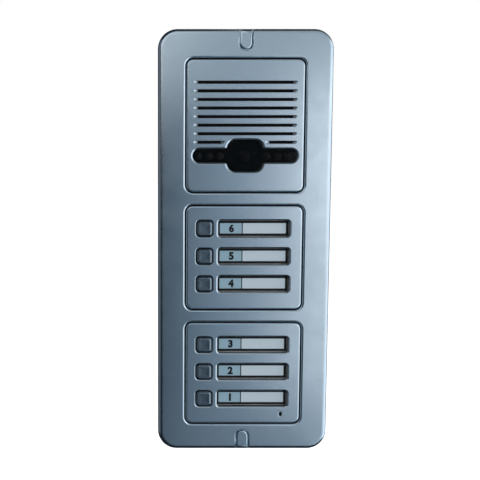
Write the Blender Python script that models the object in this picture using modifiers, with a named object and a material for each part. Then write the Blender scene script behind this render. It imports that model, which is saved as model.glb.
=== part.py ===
"""Door intercom panel with a camera, a speaker and six call buttons, for fixing to a wall.

The wall is the plane y = 0 and the panel stands out of it towards -Y, +X to the right and +Z up. The origin
is the centre of the back face. Depths below are distances in front of the wall, so a depth d is at y = -d.
A die-cast bezel carries three modules, each a face plate, a plastic carrier and what lies between them, and
the bezel is held to a back box by two screws under sliding covers.
"""

import math

import bmesh
import bpy
from mathutils import Matrix

MM = 0.001
GAP = 0.3 * MM

# Bezel: the outer frame
WIDTH = 125.0 * MM
HEIGHT = 306.4 * MM
FACE = 42.0 * MM
CORNER = 14.0 * MM
EDGE_ROUND = 3.2 * MM
SKIN = 3.2 * MM
SKIRT_WALL = 2.6 * MM
SKIRT_END = 20.0 * MM
LEDGE_WALL = 6.0 * MM
LEDGE_END = 26.3 * MM

# Module openings in the bezel: centre height, opening height
OPENING_WIDTH = 85.6 * MM
OPENING_CORNER = 5.5 * MM
SPEAKER_Z = 85.05 * MM
SPEAKER_HEIGHT = 95.2 * MM
UPPER_Z = -9.7 * MM
LOWER_Z = -95.3 * MM
BUTTON_MODULE_HEIGHT = 76.9 * MM

# Face plates: a front skin with a rim behind it, and a flange that bears on the back of the bezel
PLATE_SKIN = 2.4 * MM
PLATE_RIM = 2.0 * MM
FLANGE_REACH = 2.0 * MM
FLANGE_FRONT = FACE - SKIN - GAP
FLANGE_BACK = FLANGE_FRONT - 1.6 * MM
BEHIND_SKIN = FACE - PLATE_SKIN - GAP

# Speaker slots and the smoked window below them
SLOT_COUNT = 8
SLOT_PITCH = 6.03 * MM
SLOT_TOP_Z = 115.7 * MM
SLOT_LENGTH = 73.2 * MM
SLOT_HEIGHT = 2.3 * MM
SLOT_STOP = 14.8 * MM
WINDOW_Z = 63.9 * MM
WINDOW_BAR = (75.2 * MM, 9.8 * MM)
WINDOW_BODY = (26.2 * MM, 22.8 * MM)
WINDOW_CORNER = 6.2 * MM
WINDOW_FRONT = FACE - 0.5 * MM
WINDOW_LIP = 1.0 * MM

# Call buttons and name windows
BUTTON_X = -28.7 * MM
BUTTON_PITCH = 20.25 * MM
BUTTON_RISE = 1.0 * MM
KEY_HOLE = 12.1 * MM
KEY_CORNER = 2.8 * MM
KEY_CLEARANCE = 0.35 * MM
KEY_PROUD = 0.8 * MM
KEY_CHAMFER = 1.3 * MM
KEY_FLANGE = 13.8 * MM
KEY_STEM = 4.0 * MM
KEY_TRAVEL = 1.2 * MM
NAME_X = 7.05 * MM
NAME_SIZE = (52.1 * MM, 12.1 * MM)
NAME_CORNER = 2.2 * MM
NAME_RECESS = 0.8 * MM

# Boards and carriers behind the button plates
CARRIER_WALL = 1.4 * MM
CARRIER_FLOOR = 1.6 * MM
LEAD_HOLE = (24.0 * MM, 8.0 * MM)
CARRIER_BACK = 28.8 * MM
BOARD_BACK = 31.4 * MM
BOARD_THICK = 1.6 * MM
SWITCH_FRONT = 36.6 * MM
STEM_END = 35.4 * MM
GUIDE_BACK = 35.6 * MM

# Microphone
MIC_X = 28.0 * MM
MIC_Z = -126.2 * MM
MIC_HOLE = (1.8 * MM, 3.2 * MM)

# Speaker, camera and infrared lamps
SPEAKER_CENTRE_Z = 99.2 * MM
SPEAKER_RADIUS = 22.3 * MM
BASKET_RIM_BACK = 36.2 * MM
DEEP_CARRIER_BACK = 20.0 * MM
CAMERA_BOARD_BACK = 27.4 * MM
LENS_RADIUS = 5.0 * MM
LAMP_PITCH = 7.9 * MM
LAMP_FIRST_X = 17.0 * MM

# Screw covers and fixing screws
SCREW_Z = 142.9 * MM
POCKET_RADIUS = 4.85 * MM
POCKET_FLOOR = 36.5 * MM
RAIL_REACH = 1.15 * MM
COVER_BACK = 39.4 * MM
COVER_WALL = 1.6 * MM

# Back box and what it holds
BOX_WIDTH = 118.6 * MM
BOX_HEIGHT = 300.0 * MM
BOX_CORNER = 11.0 * MM
BOX_WALL = 2.4 * MM
BOX_FRONT = 24.0 * MM
ENTRY_Z = -118.0 * MM
ENTRY_RADIUS = 11.0 * MM
MAIN_BOARD = (90.0 * MM, 170.0 * MM)
MAIN_BOARD_Z = -10.0 * MM
MAIN_BOARD_BACK = 7.7 * MM
POST_REACH = (40.0 * MM, 79.0 * MM)
PIN_RADIUS = 1.3 * MM
MAIN_CHIPS = (
    (-12.0 * MM, 18.0 * MM, (14.0 * MM, 14.0 * MM), 1.6 * MM),
    (20.0 * MM, -24.0 * MM, (10.0 * MM, 8.0 * MM), 1.4 * MM),
    (-24.0 * MM, -58.0 * MM, (9.0 * MM, 9.0 * MM), 7.0 * MM),
    (24.0 * MM, 46.0 * MM, (18.0 * MM, 6.0 * MM), 5.0 * MM),
)

PARTS = "door_intercom_panel"
CUTTERS = "cutters"

MATERIALS = {
    "cast_metal": ((0.30, 0.37, 0.42), 0.38, 0.85),
    "key_metal": ((0.11, 0.15, 0.19), 0.32, 0.8),
    "smoked_acrylic": ((0.004, 0.004, 0.005), 0.06, 0.0),
    "clear_acrylic": ((0.55, 0.62, 0.66), 0.08, 0.0),
    "card": ((0.42, 0.52, 0.58), 0.6, 0.0),
    "light_guide": ((0.82, 0.84, 0.82), 0.35, 0.0),
    "black_plastic": ((0.02, 0.021, 0.023), 0.5, 0.0),
    "circuit_board": ((0.02, 0.12, 0.06), 0.45, 0.0),
    "terminal_plastic": ((0.05, 0.22, 0.10), 0.4, 0.0),
    "rubber": ((0.015, 0.015, 0.016), 0.75, 0.0),
    "cloth": ((0.01, 0.01, 0.011), 0.9, 0.0),
    "paper_cone": ((0.05, 0.05, 0.05), 0.8, 0.0),
    "steel": ((0.52, 0.53, 0.54), 0.3, 1.0),
    "magnet": ((0.10, 0.10, 0.11), 0.5, 0.6),
    "lens_glass": ((0.03, 0.02, 0.05), 0.03, 0.0),
    "lamp_resin": ((0.12, 0.11, 0.12), 0.12, 0.0),
}


def clear_scene():
    """Removes whatever the file opened with."""
    for item in list(bpy.data.objects):
        bpy.data.objects.remove(item, do_unlink=True)


def collection(name):
    """Returns the collection of that name, made on first use."""
    found = bpy.data.collections.get(name)
    if found is None:
        found = bpy.data.collections.new(name)
        bpy.context.scene.collection.children.link(found)
    return found


def finish(name):
    """Returns the named Principled material, made on first use."""
    found = bpy.data.materials.get(name)
    if found is None:
        colour, roughness, metallic = MATERIALS[name]
        found = bpy.data.materials.new(name)
        found.use_nodes = True
        shader = found.node_tree.nodes["Principled BSDF"]
        shader.inputs["Base Color"].default_value = (*colour, 1.0)
        shader.inputs["Roughness"].default_value = roughness
        shader.inputs["Metallic"].default_value = metallic
    return found


class Shape:
    """A mesh under construction, to which blocks and rods are added."""

    def __init__(self):
        self.mesh = bmesh.new()

    def slab(self, x, z, size, back, front, radius=0.0, steps=4, rim=0.0, rim_steps=2, end=0):
        """Adds a block between two depths, its depthwise edges rounded and its front rim bevelled.

        With end at 1 or -1, only the two depthwise edges at the top or at the bottom are rounded.
        """
        width, height = size
        verts = bmesh.ops.create_cube(self.mesh, size=1.0)["verts"]
        bmesh.ops.scale(self.mesh, verts=verts, vec=(width, front - back, height))
        bmesh.ops.translate(self.mesh, verts=verts, vec=(x, -(back + front) / 2, z))
        edges = {edge for vert in verts for edge in vert.link_edges}
        if radius:
            depthwise = [edge for edge in edges if _along_y(edge) and _at_end(edge, z, end)]
            made = bmesh.ops.bevel(
                self.mesh, geom=depthwise, offset=radius, segments=steps, affect="EDGES", profile=0.5
            )
            verts = [vert for vert in verts if vert.is_valid] + made["verts"]
            edges = {edge for vert in verts for edge in vert.link_edges}
        if rim:
            front_edges = [edge for edge in edges if _at_depth(edge, front)]
            bmesh.ops.bevel(
                self.mesh, geom=front_edges, offset=rim, segments=rim_steps, affect="EDGES", profile=0.5
            )
        return self

    def rod(self, x, z, radius, back, front, sides=24, front_radius=None):
        """Adds a cylinder, or a cone, along Y between two depths."""
        place = Matrix.Translation((x, -(back + front) / 2, z)) @ Matrix.Rotation(math.pi / 2, 4, "X")
        bmesh.ops.create_cone(
            self.mesh,
            cap_ends=True,
            segments=sides,
            radius1=radius,
            radius2=radius if front_radius is None else front_radius,
            depth=front - back,
            matrix=place,
        )
        return self

    def build(self, name, folder=CUTTERS, material=None, location=(0.0, 0.0, 0.0)):
        """Turns the mesh into an object in the named collection."""
        data = bpy.data.meshes.new(name)
        self.mesh.to_mesh(data)
        self.mesh.free()
        return place_mesh(name, data, folder, material, location)


def _along_y(edge):
    """True for an edge that runs straight through the panel's depth."""
    start, end = (vert.co for vert in edge.verts)
    return math.hypot(start.x - end.x, start.z - end.z) < 1e-7


def _at_end(edge, middle, end):
    """True for an edge above (1) or below (-1) a middle height, and for every edge when end is 0."""
    return (edge.verts[0].co.z - middle) * end >= 0


def _at_depth(edge, depth):
    """True for an edge that lies wholly at one depth."""
    return all(abs(vert.co.y + depth) < 1e-7 for vert in edge.verts)


def place_mesh(name, data, folder, material, location):
    """Adds an object for a mesh, as a part with its material or as a hidden cutter."""
    item = bpy.data.objects.new(name, data)
    item.location = location
    collection(folder).objects.link(item)
    if folder == CUTTERS:
        item.hide_render = True
        item.display_type = "WIRE"
    if material and not data.materials:
        data.materials.append(finish(material))
    return item


def combine(item, add=(), cut=()):
    """Joins the shapes in add to a part and then takes the shapes in cut out of it."""
    for operation, tools in (("UNION", add), ("DIFFERENCE", cut)):
        for tool in tools:
            step = item.modifiers.new(tool.name, "BOOLEAN")
            step.operation = operation
            step.solver = "EXACT"
            step.object = tool
    return item


def bake(item):
    """Gives a part its finished mesh in place of its modifiers, so that copies can share it."""
    bpy.context.view_layer.update()
    evaluated = item.evaluated_get(bpy.context.evaluated_depsgraph_get())
    item.data = bpy.data.meshes.new_from_object(evaluated)
    item.modifiers.clear()
    return item


def smooth(item, angle=40.0):
    """Shades a round piece smooth except across its corners."""
    item.data.shade_smooth()
    item.data.set_sharp_from_angle(angle=math.radians(angle))
    return item


def turned(name, profile, material, z, x=0.0, sides=24, closed=True):
    """A piece turned about a depthwise axis, from (radius, depth) points that run down its outer side.

    A ring's profile is a closed loop. A solid's profile starts and ends on the axis, where it is left open.
    """
    data = bpy.data.meshes.new(name)
    points = [(radius, 0.0, depth) for radius, depth in profile]
    edges = [(index, index + 1) for index in range(len(points) - 1)]
    if closed:
        edges.append((len(points) - 1, 0))
    data.from_pydata(points, edges, [])
    item = place_mesh(name, data, PARTS, material, (x, 0.0, z))
    item.rotation_euler = (math.pi / 2, 0.0, 0.0)
    screw = item.modifiers.new("turn", "SCREW")
    screw.steps = sides
    screw.render_steps = sides
    screw.use_merge_vertices = True
    screw.merge_threshold = 0.00001
    screw.use_smooth_shade = True
    return item


def copies(first, names_and_places):
    """Repeats a finished part at other places, sharing its mesh."""
    for name, location in names_and_places:
        place_mesh(name, first.data, PARTS, None, location)


def key_heights():
    """Returns each call button's number and centre height, 6 at the top and 1 at the bottom."""
    rows = []
    for base, middle in ((UPPER_Z, 5), (LOWER_Z, 2)):
        for row in (1, 0, -1):
            rows.append((middle + row, base + BUTTON_RISE + row * BUTTON_PITCH))
    return rows


def grown(size, amount):
    """Returns a width and height that are larger by an amount on every side."""
    return (size[0] + 2 * amount, size[1] + 2 * amount)


def window_tools(name, amount, back, front):
    """Returns the smoked window's outline, grown by an amount, as a bar and the body at its middle."""
    bar_size = grown(WINDOW_BAR, amount)
    bar = Shape().slab(0.0, WINDOW_Z, bar_size, back, front, bar_size[1] * 0.49, 5)
    body = Shape().slab(
        0.0, WINDOW_Z, grown(WINDOW_BODY, amount), back, front, WINDOW_CORNER + amount, 4
    )
    return [bar.build(name + "_bar"), body.build(name + "_body")]


def u_slab(sign, half_width, end, back, front, rim=0.0):
    """Returns a U-shaped slab, round about the screw's axis and square at its outer end.

    Heights are measured from the screw's axis, towards the top (sign 1) or the bottom (-1) of the panel.
    """
    middle = sign * (end - half_width) / 2
    size = (2 * half_width, end + half_width)
    return Shape().slab(
        0.0, middle, size, back, front, half_width * 0.998, 7, rim, 1, end=-sign
    )


def make_bezel():
    """The die-cast frame: a rounded face with three openings, a deep skirt and two bosses for the screws."""
    outer = (WIDTH, HEIGHT)
    bezel = Shape().slab(0.0, 0.0, outer, SKIRT_END, FACE, CORNER, 6, EDGE_ROUND, 3)
    bezel = bezel.build("front_bezel", PARTS, "cast_metal")
    ledge_hollow = Shape().slab(
        0.0, 0.0, grown(outer, -LEDGE_WALL), LEDGE_END - MM, FACE - SKIN, CORNER - LEDGE_WALL
    )
    skirt_hollow = Shape().slab(
        0.0, 0.0, grown(outer, -SKIRT_WALL), SKIRT_END - MM, LEDGE_END, CORNER - SKIRT_WALL
    )
    openings = Shape()
    for z, height in (
        (SPEAKER_Z, SPEAKER_HEIGHT),
        (UPPER_Z, BUTTON_MODULE_HEIGHT),
        (LOWER_Z, BUTTON_MODULE_HEIGHT),
    ):
        size = (OPENING_WIDTH, height)
        openings.slab(0.0, z, size, FACE - SKIN - MM, FACE + MM, OPENING_CORNER)
    hollows = [
        ledge_hollow.build("bezel_ledge_hollow"),
        skirt_hollow.build("bezel_skirt_hollow"),
        openings.build("bezel_openings"),
    ]
    combine(bezel, cut=hollows)

    boss_start = 136.1 * MM
    boss_end = 146.6 * MM
    bosses = Shape()
    for sign in (1, -1):
        middle = sign * (boss_start + boss_end) / 2
        size = (18.0 * MM, boss_end - boss_start)
        bosses.slab(0.0, middle, size, BOX_FRONT + GAP, FACE - SKIN / 2)
    combine(bezel, add=[bosses.build("bezel_bosses")])

    past = HEIGHT / 2 - SCREW_Z + MM
    rail_half = POCKET_RADIUS + RAIL_REACH
    rail_front = COVER_BACK + 1.3 * MM
    screw_holes = Shape()
    cuts = []
    for sign, side in ((1, "top"), (-1, "bottom")):
        place = (0.0, 0.0, sign * SCREW_Z)
        pocket = u_slab(sign, POCKET_RADIUS, past, POCKET_FLOOR, FACE + MM)
        rail = u_slab(sign, rail_half, past + MM, COVER_BACK - GAP, rail_front)
        cuts.append(pocket.build(side + "_pocket", location=place))
        cuts.append(rail.build(side + "_rail", location=place))
        screw_holes.rod(0.0, sign * SCREW_Z, 2.2 * MM, BOX_FRONT, POCKET_FLOOR + MM, 16)
    cuts.append(screw_holes.build("bezel_screw_holes"))
    combine(bezel, cut=cuts)


def face_plate(name, z, height):
    """A module's face plate before its holes: a boss in the opening, a flange behind it, a hollow back."""
    boss_size = grown((OPENING_WIDTH, height), -GAP)
    plate = Shape().slab(
        0.0, z, boss_size, FLANGE_FRONT - 0.2 * MM, FACE, OPENING_CORNER - GAP, 4, 0.9 * MM, 2
    )
    plate = plate.build(name, PARTS, "cast_metal")
    flange = Shape().slab(
        0.0, z, grown(boss_size, FLANGE_REACH + GAP), FLANGE_BACK, FLANGE_FRONT, OPENING_CORNER
    )
    hollow = Shape().slab(
        0.0, z, grown(boss_size, -PLATE_RIM), FLANGE_BACK - MM, FACE - PLATE_SKIN, 3.5 * MM
    )
    return combine(
        plate, add=[flange.build(name + "_flange")], cut=[hollow.build(name + "_hollow")]
    )


def make_speaker_plate():
    """The top face plate: eight sound slots, the lowest one interrupted by the smoked window."""
    plate = face_plate("speaker_camera_plate", SPEAKER_Z, SPEAKER_HEIGHT)
    slots = Shape()
    back = FACE - PLATE_SKIN - MM
    front = FACE + MM
    radius = SLOT_HEIGHT * 0.49
    for row in range(SLOT_COUNT - 1):
        z = SLOT_TOP_Z - row * SLOT_PITCH
        slots.slab(0.0, z, (SLOT_LENGTH, SLOT_HEIGHT), back, front, radius, 3)
    lowest = SLOT_TOP_Z - (SLOT_COUNT - 1) * SLOT_PITCH
    half = SLOT_LENGTH / 2 - SLOT_STOP
    for side in (-1, 1):
        x = side * (SLOT_STOP + half / 2)
        slots.slab(x, lowest, (half, SLOT_HEIGHT), back, front, radius, 3)
    cuts = [slots.build("sound_slots")] + window_tools("window_opening", 0.0, back, front)
    combine(plate, cut=cuts)


def make_button_plate(name, base, with_microphone):
    """A lower face plate: three square button holes and three name windows, and perhaps a sound hole."""
    plate = face_plate(name, base, BUTTON_MODULE_HEIGHT)
    back = FACE - PLATE_SKIN - MM
    front = FACE + MM
    holes = Shape()
    for row in (1, 0, -1):
        z = base + BUTTON_RISE + row * BUTTON_PITCH
        holes.slab(BUTTON_X, z, (KEY_HOLE, KEY_HOLE), back, front, KEY_CORNER)
        holes.slab(NAME_X, z, NAME_SIZE, back, front, NAME_CORNER, 3)
    if with_microphone:
        holes.slab(MIC_X, MIC_Z, MIC_HOLE, back, front, MIC_HOLE[0] * 0.49, 3)
    combine(plate, cut=[holes.build(name + "_holes")])


def carrier_tray(name, z, height, back):
    """A module's plastic carrier: a tray whose walls reach into the hollow of the face plate."""
    outer = grown((OPENING_WIDTH, height), -(2 * GAP + PLATE_RIM))
    tray = Shape().slab(0.0, z, outer, back, BEHIND_SKIN, 3.2 * MM, 3)
    inner = grown(outer, -CARRIER_WALL)
    hollow = Shape().slab(0.0, z, inner, back + CARRIER_FLOOR, FACE, 2.0 * MM, 3)
    tray = tray.build(name, PARTS, "black_plastic")
    return combine(tray, cut=[hollow.build(name + "_hollow")])


def make_button_carrier(name, base):
    """A lower carrier, with four pads that the button board lies on and a hole for its leads."""
    tray = carrier_tray(name, base, BUTTON_MODULE_HEIGHT, CARRIER_BACK)
    floor = CARRIER_BACK + CARRIER_FLOOR
    pads = Shape()
    for side in (-1, 1):
        for end in (-1, 1):
            z = base + BUTTON_RISE + end * 22.0 * MM
            pads.rod(side * 34.0 * MM, z, 2.5 * MM, floor - MM, BOARD_BACK - GAP, 12)
    leads = Shape().slab(0.0, base, LEAD_HOLE, CARRIER_BACK - MM, floor + MM)
    combine(tray, add=[pads.build(name + "_pads")], cut=[leads.build(name + "_lead_hole")])


def make_speaker_carrier():
    """The deep top carrier, with a ring that bears on the speaker's rim and pads for the camera board."""
    name = "speaker_camera_carrier"
    tray = carrier_tray(name, SPEAKER_Z, SPEAKER_HEIGHT, DEEP_CARRIER_BACK)
    floor = DEEP_CARRIER_BACK + CARRIER_FLOOR
    ring_front = BASKET_RIM_BACK - GAP
    ring = Shape().rod(0.0, SPEAKER_CENTRE_Z, SPEAKER_RADIUS, floor - MM, ring_front, 32)
    bore = Shape().rod(0.0, SPEAKER_CENTRE_Z, SPEAKER_RADIUS - CARRIER_WALL, floor, FACE, 32)
    pads = Shape()
    for side in (-1, 1):
        pads.rod(side * 34.0 * MM, WINDOW_Z, 2.5 * MM, floor - MM, CAMERA_BOARD_BACK - GAP, 12)
    leads = Shape().slab(0.0, 47.5 * MM, LEAD_HOLE, DEEP_CARRIER_BACK - MM, floor + MM)
    combine(
        tray,
        add=[ring.build("speaker_seat"), pads.build("camera_board_pads")],
        cut=[bore.build("speaker_seat_bore"), leads.build(name + "_lead_hole")],
    )


def make_call_buttons():
    """Six square caps, each with a retaining flange and a stem that works in its switch."""
    cap_size = grown((KEY_HOLE, KEY_HOLE), -KEY_CLEARANCE)
    corner = KEY_CORNER - KEY_CLEARANCE
    flange_front = BEHIND_SKIN - FACE
    flange_back = flange_front - 1.2 * MM
    rows = key_heights()
    number, z = rows[0]
    place = (BUTTON_X, -FACE, z)
    cap = Shape().slab(0.0, 0.0, cap_size, flange_back, KEY_PROUD, corner, 3, KEY_CHAMFER, 1)
    cap = cap.build(f"call_button_{number}", PARTS, "key_metal", place)
    flange = Shape().slab(
        0.0, 0.0, (KEY_FLANGE, KEY_FLANGE), flange_back - 0.2 * MM, flange_front, 2.0 * MM, 2
    )
    stem = Shape().slab(0.0, 0.0, (KEY_STEM, KEY_STEM), STEM_END - FACE, flange_front)
    add = [
        flange.build("key_flange", location=place),
        stem.build("key_stem", location=place),
    ]
    bake(combine(cap, add=add))
    copies(cap, [(f"call_button_{number}", (BUTTON_X, -FACE, z)) for number, z in rows[1:]])


def make_switches():
    """Six push switches on the button boards, each with a square well for its button's stem."""
    back = BOARD_BACK + BOARD_THICK + GAP
    rows = key_heights()
    number, z = rows[0]
    place = (BUTTON_X, 0.0, z)
    body = Shape().slab(0.0, 0.0, (8.0 * MM, 8.0 * MM), back, SWITCH_FRONT, 0.8 * MM, 1)
    body = body.build(f"button_switch_{number}", PARTS, "black_plastic", place)
    well_size = grown((KEY_STEM, KEY_STEM), GAP)
    well_floor = STEM_END - KEY_TRAVEL - GAP
    well = Shape().slab(0.0, 0.0, well_size, well_floor, SWITCH_FRONT + MM)
    bake(combine(body, cut=[well.build("switch_well", location=place)]))
    copies(body, [(f"button_switch_{number}", (BUTTON_X, 0.0, z)) for number, z in rows[1:]])


def make_name_windows():
    """Six clear covers that fill the name openings from behind, and the card behind each."""
    body_size = grown(NAME_SIZE, -GAP)
    lip_back = BEHIND_SKIN - 1.1 * MM
    rows = key_heights()
    number, z = rows[0]
    place = (NAME_X, 0.0, z)
    cover = Shape().slab(
        0.0,
        0.0,
        body_size,
        lip_back + 0.1 * MM,
        FACE - NAME_RECESS,
        NAME_CORNER - GAP,
        3,
        0.4 * MM,
        1,
    )
    cover = cover.build(f"name_cover_{number}", PARTS, "clear_acrylic", place)
    lip = Shape().slab(0.0, 0.0, grown(NAME_SIZE, MM), lip_back, BEHIND_SKIN, MM, 2)
    bake(combine(cover, add=[lip.build("name_cover_lip", location=place)]))
    copies(cover, [(f"name_cover_{number}", (NAME_X, 0.0, z)) for number, z in rows[1:]])

    card_front = lip_back - GAP
    card_size = grown(NAME_SIZE, -0.6 * MM)
    card = Shape().slab(0.0, 0.0, card_size, card_front - 0.4 * MM, card_front, MM, 2)
    card = card.build(f"name_card_{number}", PARTS, "card", place)
    copies(card, [(f"name_card_{number}", (NAME_X, 0.0, z)) for number, z in rows[1:]])


def make_button_board(side, base):
    """The circuit board of a lower module, with its back-light lamps, and the light guide over them."""
    centre = base + BUTTON_RISE
    heights = [centre + row * BUTTON_PITCH for row in (1, 0, -1)]
    top = BOARD_BACK + BOARD_THICK
    board = Shape().slab(0.0, centre, (76.6 * MM, 54.4 * MM), BOARD_BACK, top, 1.5 * MM, 2)
    board = board.build(f"{side}_button_board", PARTS, "circuit_board")
    lamps = Shape()
    for z in heights:
        lamps.slab(NAME_X, z, (3.5 * MM, 2.8 * MM), top - 0.2 * MM, top + 1.2 * MM)
    combine(board, add=[lamps.build(f"{side}_board_lamps")])

    guide_size = (54.0 * MM, 2 * BUTTON_PITCH + 13.0 * MM)
    guide = Shape().slab(
        NAME_X, centre, guide_size, GUIDE_BACK, GUIDE_BACK + 1.6 * MM, 1.5 * MM, 2
    )
    guide = guide.build(f"{side}_light_guide", PARTS, "light_guide")
    feet = Shape()
    for offset in (-24.0 * MM, 24.0 * MM):
        for z in heights:
            feet.rod(NAME_X + offset, z, 1.2 * MM, top + GAP, GUIDE_BACK + 0.5 * MM, 6)
    combine(guide, add=[feet.build(f"{side}_guide_feet")])


def make_window():
    """The smoked window over the camera and the infrared lamps, with a lip behind the face plate."""
    bar_size = grown(WINDOW_BAR, -GAP)
    body_size = grown(WINDOW_BODY, -GAP)
    lip_back = BEHIND_SKIN - 1.1 * MM
    bar = Shape().slab(
        0.0, WINDOW_Z, bar_size, lip_back + 0.1 * MM, WINDOW_FRONT, bar_size[1] * 0.49, 5
    )
    window = bar.build("camera_window", PARTS, "smoked_acrylic")
    body = Shape().slab(
        0.0,
        WINDOW_Z,
        body_size,
        lip_back + 0.2 * MM,
        WINDOW_FRONT + 0.02 * MM,
        WINDOW_CORNER - GAP,
        4,
    )
    lip = window_tools("window_lip", WINDOW_LIP, lip_back, BEHIND_SKIN)
    combine(window, add=[body.build("window_body_front")] + lip)


def make_speaker():
    """The loudspeaker behind the slots: cloth, foam ring, basket, cone and magnet."""
    cloth_back = BEHIND_SKIN - 0.4 * MM
    top = 119.0 * MM
    bottom = WINDOW_Z + WINDOW_BAR[1] / 2 + WINDOW_LIP + GAP
    cloth = Shape().slab(
        0.0, (top + bottom) / 2, (76.5 * MM, top - bottom), cloth_back, BEHIND_SKIN
    )
    cloth = cloth.build("speaker_cloth", PARTS, "cloth")
    notch_size = grown(WINDOW_BODY, WINDOW_LIP + GAP)
    notch = Shape().slab(0.0, WINDOW_Z, notch_size, cloth_back - MM, FACE, WINDOW_CORNER)
    combine(cloth, cut=[notch.build("cloth_notch")])

    ring_front = cloth_back - GAP
    ring_back = ring_front - 0.9 * MM
    inner = SPEAKER_RADIUS - 2.6 * MM
    ring = [
        (SPEAKER_RADIUS, ring_front),
        (SPEAKER_RADIUS, ring_back),
        (inner, ring_back),
        (inner, ring_front),
    ]
    turned("speaker_gasket", ring, "rubber", SPEAKER_CENTRE_Z)

    rim_front = ring_back - GAP
    basket = [
        (SPEAKER_RADIUS, rim_front),
        (SPEAKER_RADIUS, BASKET_RIM_BACK),
        (20.2 * MM, BASKET_RIM_BACK),
        (11.6 * MM, 27.6 * MM),
        (10.4 * MM, 26.4 * MM),
        (3.6 * MM, 26.4 * MM),
        (3.6 * MM, 27.4 * MM),
        (10.0 * MM, 27.4 * MM),
        (11.0 * MM, 28.4 * MM),
        (19.4 * MM, rim_front),
    ]
    turned("speaker_basket", basket, "steel", SPEAKER_CENTRE_Z)

    cone = [
        (18.4 * MM, rim_front),
        (17.9 * MM, rim_front - 0.5 * MM),
        (8.6 * MM, 29.6 * MM),
        (3.0 * MM, 31.4 * MM),
        (3.0 * MM, 32.0 * MM),
        (8.6 * MM, 30.4 * MM),
        (17.2 * MM, rim_front),
    ]
    turned("speaker_cone", cone, "paper_cone", SPEAKER_CENTRE_Z)

    magnet = Shape().rod(0.0, SPEAKER_CENTRE_Z, 10.0 * MM, 22.2 * MM, 26.1 * MM, 28)
    smooth(magnet.build("speaker_magnet", PARTS, "magnet"))


def make_camera():
    """The camera board with its lens barrel, lens and six infrared lamps."""
    board_front = CAMERA_BOARD_BACK + BOARD_THICK
    board = Shape().slab(
        0.0, WINDOW_Z, (76.0 * MM, 20.0 * MM), CAMERA_BOARD_BACK, board_front, 1.5 * MM, 2
    )
    board.build("camera_board", PARTS, "circuit_board")

    barrel_back = board_front + GAP
    base = Shape().slab(0.0, WINDOW_Z, (14.4 * MM, 14.4 * MM), barrel_back, 32.0 * MM)
    barrel = Shape().rod(0.0, WINDOW_Z, 6.8 * MM, 31.0 * MM, 37.4 * MM, 28)
    bore = Shape().rod(0.0, WINDOW_Z, LENS_RADIUS + GAP, 33.8 * MM, FACE, 28)
    barrel = smooth(barrel.build("camera_barrel", PARTS, "black_plastic"))
    combine(barrel, add=[base.build("barrel_base")], cut=[bore.build("barrel_bore")])

    dome_steps = 3
    dome_rise = 1.4 * MM
    dome_base = 36.2 * MM
    dome = []
    for step in range(dome_steps + 1):
        turn = math.pi / 2 * step / dome_steps
        dome.append((LENS_RADIUS * math.sin(turn), dome_base + dome_rise * math.cos(turn)))
    lens = dome + [(LENS_RADIUS, 34.1 * MM), (0.0, 34.1 * MM)]
    turned("camera_lens", lens, "lens_glass", WINDOW_Z, closed=False)

    lamp_radius = 2.5 * MM
    tip = 37.6 * MM
    bulb = []
    for step in range(dome_steps + 1):
        turn = math.pi / 2 * step / dome_steps
        bulb.append((lamp_radius * math.sin(turn), tip - lamp_radius * (1 - math.cos(turn))))
    collar_front = barrel_back + 1.0 * MM
    lamp = bulb + [
        (lamp_radius, collar_front),
        (2.9 * MM, collar_front),
        (2.9 * MM, barrel_back),
        (0.0, barrel_back),
    ]
    places = []
    for side in (-1, 1):
        for index in range(3):
            places.append(side * (LAMP_FIRST_X + index * LAMP_PITCH))
    places.sort()
    first = turned("ir_lamp_1", lamp, "lamp_resin", WINDOW_Z, x=places[0], sides=12, closed=False)
    bake(first)
    for number, x in enumerate(places[1:], start=2):
        lamp_copy = place_mesh(f"ir_lamp_{number}", first.data, PARTS, None, (x, 0.0, WINDOW_Z))
        lamp_copy.rotation_euler = first.rotation_euler


def make_microphone():
    """The microphone capsule in a rubber boot behind the sound hole of the lower plate."""
    front = BEHIND_SKIN
    boot = [
        (3.4 * MM, front),
        (3.4 * MM, 33.6 * MM),
        (2.5 * MM, 33.6 * MM),
        (2.5 * MM, 38.3 * MM),
        (1.2 * MM, 38.3 * MM),
        (1.2 * MM, front),
    ]
    turned("microphone_boot", boot, "rubber", MIC_Z, x=MIC_X, sides=16)
    capsule = Shape().rod(MIC_X, MIC_Z, 2.2 * MM, 34.6 * MM, 38.0 * MM, 20)
    smooth(capsule.build("microphone", PARTS, "steel"))


def make_screw_covers():
    """Two U-shaped covers that slide out along the panel's face, with rails under their edges."""
    length = HEIGHT / 2 - SCREW_Z
    half = POCKET_RADIUS - GAP
    rail_half = POCKET_RADIUS + RAIL_REACH - 0.4 * MM
    for sign, side in ((1, "top"), (-1, "bottom")):
        place = (0.0, 0.0, sign * SCREW_Z)
        face = u_slab(sign, half, length, COVER_BACK + 0.1 * MM, FACE, 0.6 * MM)
        cover = face.build(f"{side}_screw_cover", PARTS, "cast_metal", place)
        rail = u_slab(sign, rail_half, length - 0.2 * MM, COVER_BACK, COVER_BACK + MM)
        wall_z = sign * (length - COVER_WALL / 2 - 0.1 * MM)
        wall = Shape().slab(
            0.0, wall_z, (2 * half - 0.2 * MM, COVER_WALL), POCKET_FLOOR + GAP, FACE - MM
        )
        add = [
            rail.build(f"{side}_cover_rail", location=place),
            wall.build(f"{side}_cover_wall", location=place),
        ]
        combine(cover, add=add)


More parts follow.
